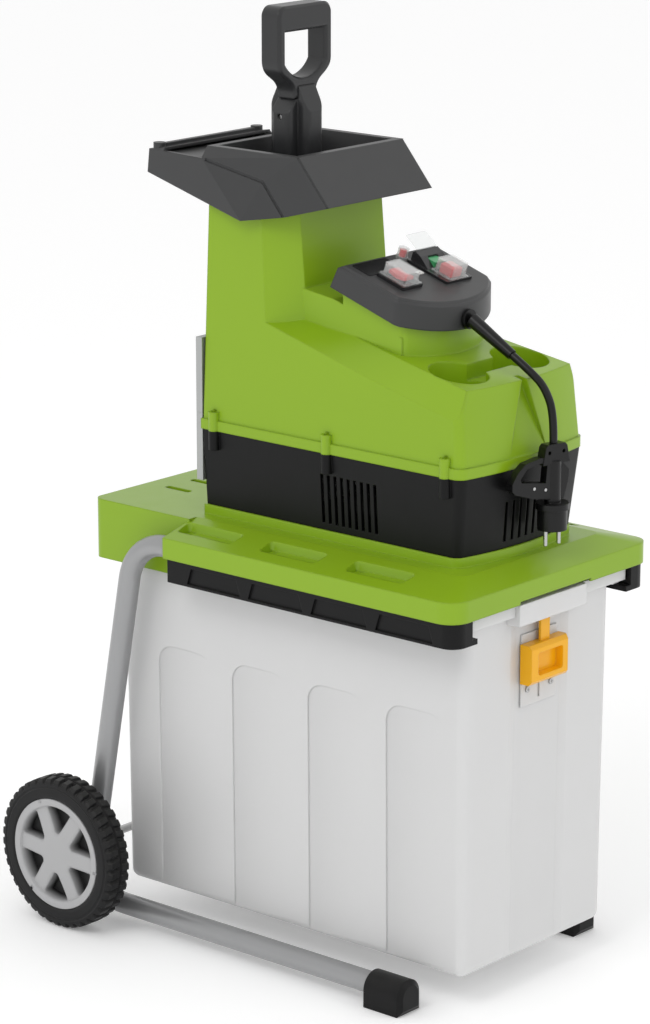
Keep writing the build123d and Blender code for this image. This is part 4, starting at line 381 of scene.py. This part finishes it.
# wheel covers: raised rim with clip notches, shallow dish, spokes between rounded windows
# millimetres and degrees; the back goes from rim to middle as (radius, depth, 1 behind a window)
coverLook = {
    "centre": 0.1,
    "radius": 66.0,
    "steps": 420,
    "rings": 150,
    "rimInner": 57.0,
    "rimRise": (-0.9, 0.5),
    "rimDepth": 0.4,
    "dish": (14, 50),
    "dishDepth": 3.2,
    "hubDepth": 1.0,
    "spokes": 6,
    "spokeHalf": 10.4,
    "windowInner": 25.0,
    "windowOuter": 56.0,
    "windowFloor": 16.6,
    "windowEdge": (-0.5, 0.6),
    "lipDepth": 1.3,
    "lipWidth": 3.5,
    "corner": 3.0,
    "turn": -4.0,
    "notches": 3,
    "notchHalf": 1.8,
    "notchSoft": 0.5,
    "notchDepth": 1.9,
    "notchBand": (61.5, 62.5),
    "notchTurn": 0.32,
    "back": [(66.0, 6.0, 0), (60.0, 6.2, 0), (59.0, 16.9, 1), (20.0, 16.9, 1), (0.1, 16.9, 1)],
}


def softMin(a, b, width):
    # the lesser of two values, rounded off where they are less than a width apart
    blend = np.clip(0.5 + 0.5 * (b - a) / width, 0, 1)
    return b + (a - b) * blend - width * blend * (1 - blend)


def makeCover(name, side, look, node, body):
    # depth(radius, angle): dish to rim by a smooth step, sunk to the floor where the distance
    # inside a window, the soft least of those to its two spokes, rim and hub, is above nothing
    angle = np.linspace(0, 2 * math.pi, look["steps"], endpoint=False)[:, None]
    radius = np.linspace(look["centre"], look["radius"], look["rings"])[None, :]
    wedge = math.pi / look["spokes"]
    turned = (angle - math.radians(look["turn"]) + wedge) % (2 * wedge) - wedge
    toSpoke = radius * np.sin(wedge - np.abs(turned)) - look["spokeHalf"]
    inside = softMin(toSpoke, look["windowOuter"] - radius, look["corner"])
    inside = softMin(inside, radius - look["windowInner"], look["corner"])
    before, beyond = look["rimRise"]
    rim = smoothStep(look["rimInner"] + before, look["rimInner"] + beyond, radius)
    fall = look["dishDepth"] - look["hubDepth"]
    dish = look["hubDepth"] + fall * smoothStep(*look["dish"], radius)
    depth = dish + (look["rimDepth"] - dish) * rim
    depth = depth + look["lipDepth"] * smoothStep(-look["lipWidth"], 0.0, inside)
    hole = smoothStep(*look["windowEdge"], inside)
    depth = depth + (look["windowFloor"] - depth) * hole
    phase = (angle * look["notches"] / (2 * math.pi) + look["notchTurn"]) % 1 - 0.5
    arc = np.abs(phase) * 2 * math.pi / look["notches"] * radius
    half, soft = look["notchHalf"], look["notchSoft"]
    notch = 1 - smoothStep(half - soft, half + soft, arc)
    depth = depth + look["notchDepth"] * notch * smoothStep(*look["notchBand"], radius)
    # the same three values for the back, in the columns after the front's, then all in metres
    ones = np.ones_like(angle)
    backRadius, backDepth, backSunk = np.array(look["back"]).T[:, None, :]
    depth = np.concatenate([depth, ones * backDepth], axis=1) / 1000
    radius = np.concatenate([ones * radius, ones * backRadius], axis=1) / 1000
    sunk = np.concatenate([hole, ones * backSunk], axis=1)
    points = wheelPoints(side, depth, radius, angle)
    piece = addMesh(name, points, gridFaces(look["steps"], depth.shape[1], side > 0))
    mask = piece.data.attributes.new("sunk", "FLOAT", "POINT")
    mask.data.foreach_set("value", sunk.reshape(-1).astype(np.float32))
    return standIn(piece, node, body)


covers = [
    makeCover("coverLeft", -1, coverLook, "wheel_trim_left", "wheel_left"),
    makeCover("coverRight", 1, coverLook, "wheel_trim_right", "wheel_right"),
]
print("wheel covers made")

# shelf of the hopper behind its mouth: a shallow dished plate between the side walls
shelfLook = {
    "half": 0.0845,
    "front": 0.108,
    "rear": 0.1835,
    "top": 0.9012,
    "dish": 0.0022,
    "thick": 0.0025,
    "columns": 60,
    "rows": 30,
}


def makeShelf(look):
    # top(u, v) = level - dish * (1 - u^4) * (1 - v^4), with a flat underside, closed at the rim
    u = np.linspace(-1, 1, look["columns"])[None, :]
    v = np.linspace(-1, 1, look["rows"])[:, None]
    top = look["top"] - look["dish"] * (1 - u**4) * (1 - v**4)
    x = look["half"] * u + 0 * v
    y = (look["front"] + look["rear"]) / 2 + (look["rear"] - look["front"]) / 2 * v + 0 * u
    under = np.full_like(x, look["top"] - look["dish"] - look["thick"])
    layers = [np.stack([x, y, z], axis=-1).reshape(-1, 3) for z in (top, under)]
    rows, columns = x.shape
    index = np.arange(rows * columns).reshape(rows, columns)
    upper = np.stack([index[:-1, :-1], index[:-1, 1:], index[1:, 1:], index[1:, :-1]], axis=-1)
    upper = upper.reshape(-1, 4)
    lower = upper[:, ::-1] + rows * columns
    ring = np.concatenate([index[0, :-1], index[:-1, -1], index[-1, :0:-1], index[:0:-1, 0]])
    after = np.roll(ring, -1)
    wall = np.stack([after, ring, ring + rows * columns, after + rows * columns], axis=-1)
    faces = np.concatenate([upper, lower, wall])
    piece = addMesh("hopperShelf", np.concatenate(layers), faces)
    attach(piece, "machine")
    return piece


shelf = makeShelf(shelfLook)
print("hopper shelf made")

# every finish has these unless it says otherwise
plainFinish = {"metal": 0.0, "shine": 0.5, "bumpHeight": 0.0004, "coatRough": 0.25, "nodes": []}
# what a user would change on each finish: colours are linear, sizes in metres
finishes = {
    "limePlastic": {
        "colour": (0.235, 0.395, 0.006), "worn": (0.4, 0.6, 0.06), "rough": 0.34, "shine": 0.36,
        "spread": 0.05, "grain": 1500, "bump": 0.05, "drift": 0.03, "edge": 0.0028,
        "wear": 0.15, "dust": 0.02, "coat": 0.12,
        "nodes": ["deck", "upper_housing"],
    },
    "hopperPlastic": {
        "colour": (0.034, 0.0345, 0.0355), "worn": (0.1, 0.1, 0.1), "rough": 0.4, "shine": 0.4,
        "spread": 0.06, "grain": 1300, "bump": 0.1, "drift": 0.05, "edge": 0.0022, "wear": 0.3,
        "dust": 0.05, "coat": 0.0,
        "nodes": ["hopper", "control_panel"],
    },
    "plungerPlastic": {
        "colour": (0.022, 0.0225, 0.0235), "worn": (0.08, 0.08, 0.08), "rough": 0.33,
        "shine": 0.4, "spread": 0.06, "grain": 1300, "bump": 0.08, "drift": 0.05, "edge": 0.003,
        "wear": 0.3, "dust": 0.03, "coat": 0.05,
        "nodes": ["plunger_stem", "plunger_grip"],
    },
    "blackPlastic": {
        "colour": (0.0035, 0.0035, 0.0038), "worn": (0.02, 0.02, 0.02), "rough": 0.4,
        "shine": 0.2, "spread": 0.06, "grain": 1200, "bump": 0.1, "drift": 0.08, "edge": 0.0016,
        "wear": 0.25, "dust": 0.04, "coat": 0.0,
        "nodes": [
            "base_housing", "rail_left", "rail_right", "foot_cap_left", "foot_cap_right",
            "adjusting_knob", "axle_washers", "cooling_fan", "safety_switch", "capacitor",
        ],
    },
    "wheelPlastic": {
        "colour": (0.007, 0.007, 0.0075), "worn": (0.03, 0.03, 0.03), "rough": 0.5,
        "shine": 0.25, "spread": 0.07, "grain": 900, "bump": 0.15, "drift": 0.1, "edge": 0.0012,
        "wear": 0.35, "dust": 0.08, "coat": 0.0,
    },
    "silverPlastic": {
        "colour": (0.4, 0.4, 0.405), "worn": (0.55, 0.55, 0.55), "rough": 0.45, "spread": 0.05,
        "grain": 1500, "bump": 0.05, "drift": 0.03, "edge": 0.0024, "wear": 0.1, "dust": 0.03,
        "coat": 0.0, "sunk": (0.006, 0.006, 0.006),
    },
    "boxPlastic": {
        "colour": (0.655, 0.655, 0.655), "worn": (0.8, 0.8, 0.8), "rough": 0.42, "spread": 0.04,
        "grain": 700, "bump": 0.05, "drift": 0.02, "edge": 0.002, "wear": 0.15, "dust": 0.02,
        "coat": 0.0,
        "nodes": ["chip_box", "latch_plate"],
    },
    "amberPlastic": {
        "colour": (0.86, 0.42, 0.001), "worn": (0.9, 0.55, 0.05), "rough": 0.3, "shine": 0.35,
        "spread": 0.04, "grain": 1500, "bump": 0.04, "drift": 0.03, "edge": 0.0014, "wear": 0.2,
        "dust": 0.02, "coat": 0.1,
        "nodes": ["latch_slider"],
    },
    "silverPaint": {
        "colour": (0.33, 0.332, 0.337), "worn": (0.2, 0.2, 0.2), "rough": 0.34, "spread": 0.06,
        "grain": 2400, "bump": 0.04, "drift": 0.03, "edge": 0.001, "wear": 0.1, "dust": 0.03,
        "coat": 0.15, "metal": 0.55,
        "nodes": ["frame_tube_left", "frame_tube_right"],
    },
    "plainSteel": {
        "colour": (0.5, 0.5, 0.5), "worn": (0.7, 0.7, 0.7), "rough": 0.3, "spread": 0.08,
        "grain": 1800, "bump": 0.05, "drift": 0.05, "edge": 0.0004, "wear": 0.3, "dust": 0.0,
        "coat": 0.0, "metal": 1.0,
        "nodes": [
            "axle", "axle_clips", "latch_screws", "housing_screws", "plunger_pin",
            "cutter_bearings", "cutter_shaft", "cutter_roller", "adjusting_screw", "plug_pins",
            "output_gear", "layshaft",
        ],
    },
    "castMetal": {
        "colour": (0.45, 0.46, 0.455), "worn": (0.65, 0.65, 0.65), "rough": 0.48,
        "spread": 0.08, "grain": 420, "bump": 0.25, "drift": 0.08, "edge": 0.0012, "wear": 0.3,
        "dust": 0.0, "coat": 0.0, "metal": 0.85,
        "nodes": [
            "chamber_upper", "chamber_lower", "pressure_plate", "gearbox_housing",
            "motor_end_bell",
        ],
    },
    "ironCore": {
        "colour": (0.12, 0.12, 0.125), "worn": (0.25, 0.25, 0.25), "rough": 0.5, "spread": 0.08,
        "grain": 500, "bump": 0.15, "drift": 0.1, "edge": 0.0006, "wear": 0.2, "dust": 0.0,
        "coat": 0.0, "metal": 0.8,
        "nodes": ["motor_rotor", "motor_stator"],
    },
    "copperWire": {
        "colour": (0.5, 0.19, 0.07), "worn": (0.7, 0.35, 0.15), "rough": 0.35, "spread": 0.08,
        "grain": 600, "bump": 0.3, "drift": 0.1, "edge": 0.0006, "wear": 0.2, "dust": 0.0,
        "coat": 0.2, "metal": 0.9,
        "nodes": ["motor_windings"],
    },
    "glossBlack": {
        "colour": (0.012, 0.012, 0.013), "worn": (0.05, 0.05, 0.05), "rough": 0.2,
        "spread": 0.04, "grain": 1500, "bump": 0.02, "drift": 0.05, "edge": 0.0006, "wear": 0.2,
        "dust": 0.02, "coat": 0.2,
        "nodes": ["panel_inlay", "switch_bezel", "selector_seat"],
    },
    "redPlastic": {
        "colour": (0.68, 0.055, 0.06), "worn": (0.85, 0.25, 0.24), "rough": 0.3, "spread": 0.04,
        "grain": 1500, "bump": 0.03, "drift": 0.03, "edge": 0.0008, "wear": 0.15, "dust": 0.0,
        "coat": 0.2,
        "nodes": ["direction_rocker", "stop_button", "reset_button"],
    },
    "startPlastic": {
        "colour": (0.05, 0.33, 0.12), "worn": (0.2, 0.5, 0.25), "rough": 0.3, "spread": 0.04,
        "grain": 1500, "bump": 0.03, "drift": 0.03, "edge": 0.0008, "wear": 0.15, "dust": 0.0,
        "coat": 0.2,
        "nodes": ["start_button"],
    },
    "whitePlastic": {
        "colour": (0.72, 0.72, 0.7), "worn": (0.8, 0.8, 0.8), "rough": 0.35, "spread": 0.04,
        "grain": 1500, "bump": 0.03, "drift": 0.03, "edge": 0.0006, "wear": 0.1, "dust": 0.0,
        "coat": 0.1,
        "nodes": ["indicator"],
    },
    "cordRubber": {
        "colour": (0.004, 0.004, 0.0042), "worn": (0.02, 0.02, 0.02), "rough": 0.3,
        "shine": 0.3, "spread": 0.05, "grain": 900, "bump": 0.08, "drift": 0.05, "edge": 0.0012,
        "wear": 0.15, "dust": 0.02, "coat": 0.0,
        "nodes": ["cord_boot", "plug_body"],
    },
}


def newMaterial(name):
    material = bpy.data.materials.new(name)
    material.use_nodes = True
    tree = material.node_tree
    return material, tree, tree.nodes["Principled BSDF"]


def makeFinish(name, look):
    material, tree, shader = newMaterial(name)
    finish = put(tree, "ShaderNodeGroup", node_tree=surfaceFinish)
    setInputs(finish, {
        "Colour": (*look["colour"], 1),
        "Grain Scale": look["grain"],
        "Drift": look["drift"],
        "Roughness": look["rough"],
        "Roughness Spread": look["spread"],
        "Dust": look["dust"],
    })
    edge = put(tree, "ShaderNodeGroup", node_tree=softEdge)
    setInputs(edge, {"Radius": look["edge"], "Wear": look["wear"]})
    mix = put(tree, "ShaderNodeMix", data_type="RGBA")
    mix.inputs["B"].default_value = (*look["worn"], 1)
    bump = put(tree, "ShaderNodeBump")
    setInputs(bump, {"Strength": look["bump"], "Distance": look["bumpHeight"]})
    links = tree.links
    links.new(edge.outputs["Edge"], mix.inputs["Factor"])
    links.new(finish.outputs["Colour"], mix.inputs["A"])
    colour = mix.outputs["Result"]
    if "sunk" in look:
        # dark where the mesh says that it lies at the bottom of a window
        floor = put(tree, "ShaderNodeMix", data_type="RGBA")
        floor.inputs["B"].default_value = (*look["sunk"], 1)
        depth = put(tree, "ShaderNodeAttribute", attribute_name="sunk")
        links.new(depth.outputs["Fac"], floor.inputs["Factor"])
        links.new(colour, floor.inputs["A"])
        colour = floor.outputs["Result"]
    links.new(colour, shader.inputs["Base Color"])
    links.new(finish.outputs["Roughness"], shader.inputs["Roughness"])
    links.new(finish.outputs["Height"], bump.inputs["Height"])
    links.new(edge.outputs["Normal"], bump.inputs["Normal"])
    links.new(bump.outputs["Normal"], shader.inputs["Normal"])
    setInputs(shader, {
        "Metallic": look["metal"],
        "Specular IOR Level": look["shine"],
        "Coat Weight": look["coat"],
        "Coat Roughness": look["coatRough"],
    })
    return material


def dress(pieces, material):
    for piece in pieces:
        slots = piece.data.materials
        slots.clear()
        slots.append(material)


newPieces = {
    "cordRubber": [powerCord],
    "wheelPlastic": tyres,
    "silverPlastic": covers,
    "hopperPlastic": [shelf],
}
materials = {}
for name, look in finishes.items():
    look = {**plainFinish, **look}
    materials[name] = makeFinish(name, look)
    dress([nodes[node] for node in look["nodes"]], materials[name])
    dress(newPieces.get(name, []), materials[name])

# the box: milky plastic that lets some light through
boxMilk = {
    "Subsurface Weight": 0.35,
    "Subsurface Radius": (0.01, 0.01, 0.01),
    "Subsurface Scale": 1.0,
}
setInputs(materials["boxPlastic"].node_tree.nodes["Principled BSDF"], boxMilk)

# clear covers over the switches
clearLook = {
    "colour": (0.85, 0.88, 0.87),
    "rough": 0.06,
    "smear": 0.16,
    "smearScale": 160.0,
    "smearDetail": 3.0,
    "alpha": 0.07,
    "rim": 0.55,
    "rimBlend": 0.35,
    "coat": 0.5,
    "coatRough": 0.08,
    "nodes": ["selector_cover", "reset_cap", "start_flap", "stop_cover"],
}


def makeClear(look):
    material, tree, shader = newMaterial("clearCover")
    place = put(tree, "ShaderNodeTexCoord").outputs["Object"]
    smear = noise(tree, place, look["smearScale"], look["smearDetail"])
    rough = maths(tree, "MULTIPLY_ADD", smear, look["smear"], look["rough"])
    tree.links.new(rough, shader.inputs["Roughness"])
    # clear faces seen square on, whiter where they turn away
    rim = put(tree, "ShaderNodeLayerWeight")
    rim.inputs["Blend"].default_value = look["rimBlend"]
    cover = maths(tree, "MULTIPLY_ADD", rim.outputs["Facing"], look["rim"], look["alpha"])
    tree.links.new(cover, shader.inputs["Alpha"])
    setInputs(shader, {
        "Base Color": (*look["colour"], 1),
        "Coat Weight": look["coat"],
        "Coat Roughness": look["coatRough"],
    })
    return material


materials["clearCover"] = makeClear(clearLook)
dress([nodes[node] for node in clearLook["nodes"]], materials["clearCover"])
print("finishes made:", len(materials))

# studio: pale floor, white world, two soft lamps as (name, place, size, power)
studio = {
    "floorSize": 60.0,
    "floorDrop": 0.0005,
    "floor": (0.97, 0.97, 0.97),
    "floorRough": 0.85,
    "floorGlow": 0.13,
    "world": 0.86,
    "lamps": [
        ("keyLamp", (-3.0, -0.4, 3.4), 1.8, 30.0),
        ("sideLamp", (1.2, -3.6, 3.0), 2.4, 12.0),
    ],
    "target": (0.0, 0.0, 0.5),
}


def makeStudio(look):
    # world: plain light for the object, full white where the camera or a clear piece sees it
    white = (1, 1, 1, 1)
    world.use_nodes = True
    tree = world.node_tree
    tree.nodes.clear()
    light = put(tree, "ShaderNodeBackground")
    setInputs(light, {"Color": white, "Strength": look["world"]})
    seen = put(tree, "ShaderNodeBackground")
    setInputs(seen, {"Color": white, "Strength": 1.0})
    rays = put(tree, "ShaderNodeLightPath").outputs
    either = maths(tree, "MAXIMUM", rays["Is Camera Ray"], rays["Is Transmission Ray"])
    mix = put(tree, "ShaderNodeMixShader")
    output = put(tree, "ShaderNodeOutputWorld")
    tree.links.new(either, mix.inputs[0])
    tree.links.new(light.outputs[0], mix.inputs[1])
    tree.links.new(seen.outputs[0], mix.inputs[2])
    tree.links.new(mix.outputs[0], output.inputs[0])
    # floor: a big sheet, just under the feet
    half = look["floorSize"] / 2
    low = -look["floorDrop"]
    mesh = bpy.data.meshes.new("studioFloor")
    corners = [(x * half, y * half, low) for x, y in ((-1, -1), (1, -1), (1, 1), (-1, 1))]
    mesh.from_pydata(corners, [], [(0, 1, 2, 3)])
    material, _, shader = newMaterial("studioFloor")
    setInputs(shader, {
        "Base Color": (*look["floor"], 1),
        "Roughness": look["floorRough"],
        "Emission Color": white,
        "Emission Strength": look["floorGlow"],
    })
    mesh.materials.append(material)
    addObject("studioFloor", mesh)
    for name, place, size, power in look["lamps"]:
        data = bpy.data.lights.new(name, "AREA")
        data.shape = "DISK"
        data.size = size
        data.energy = power
        lamp = addObject(name, data)
        lamp.location = place
        aim = Vector(look["target"]) - Vector(place)
        lamp.rotation_euler = aim.to_track_quat("-Z", "Y").to_euler()


makeStudio(studio)
print("studio made")
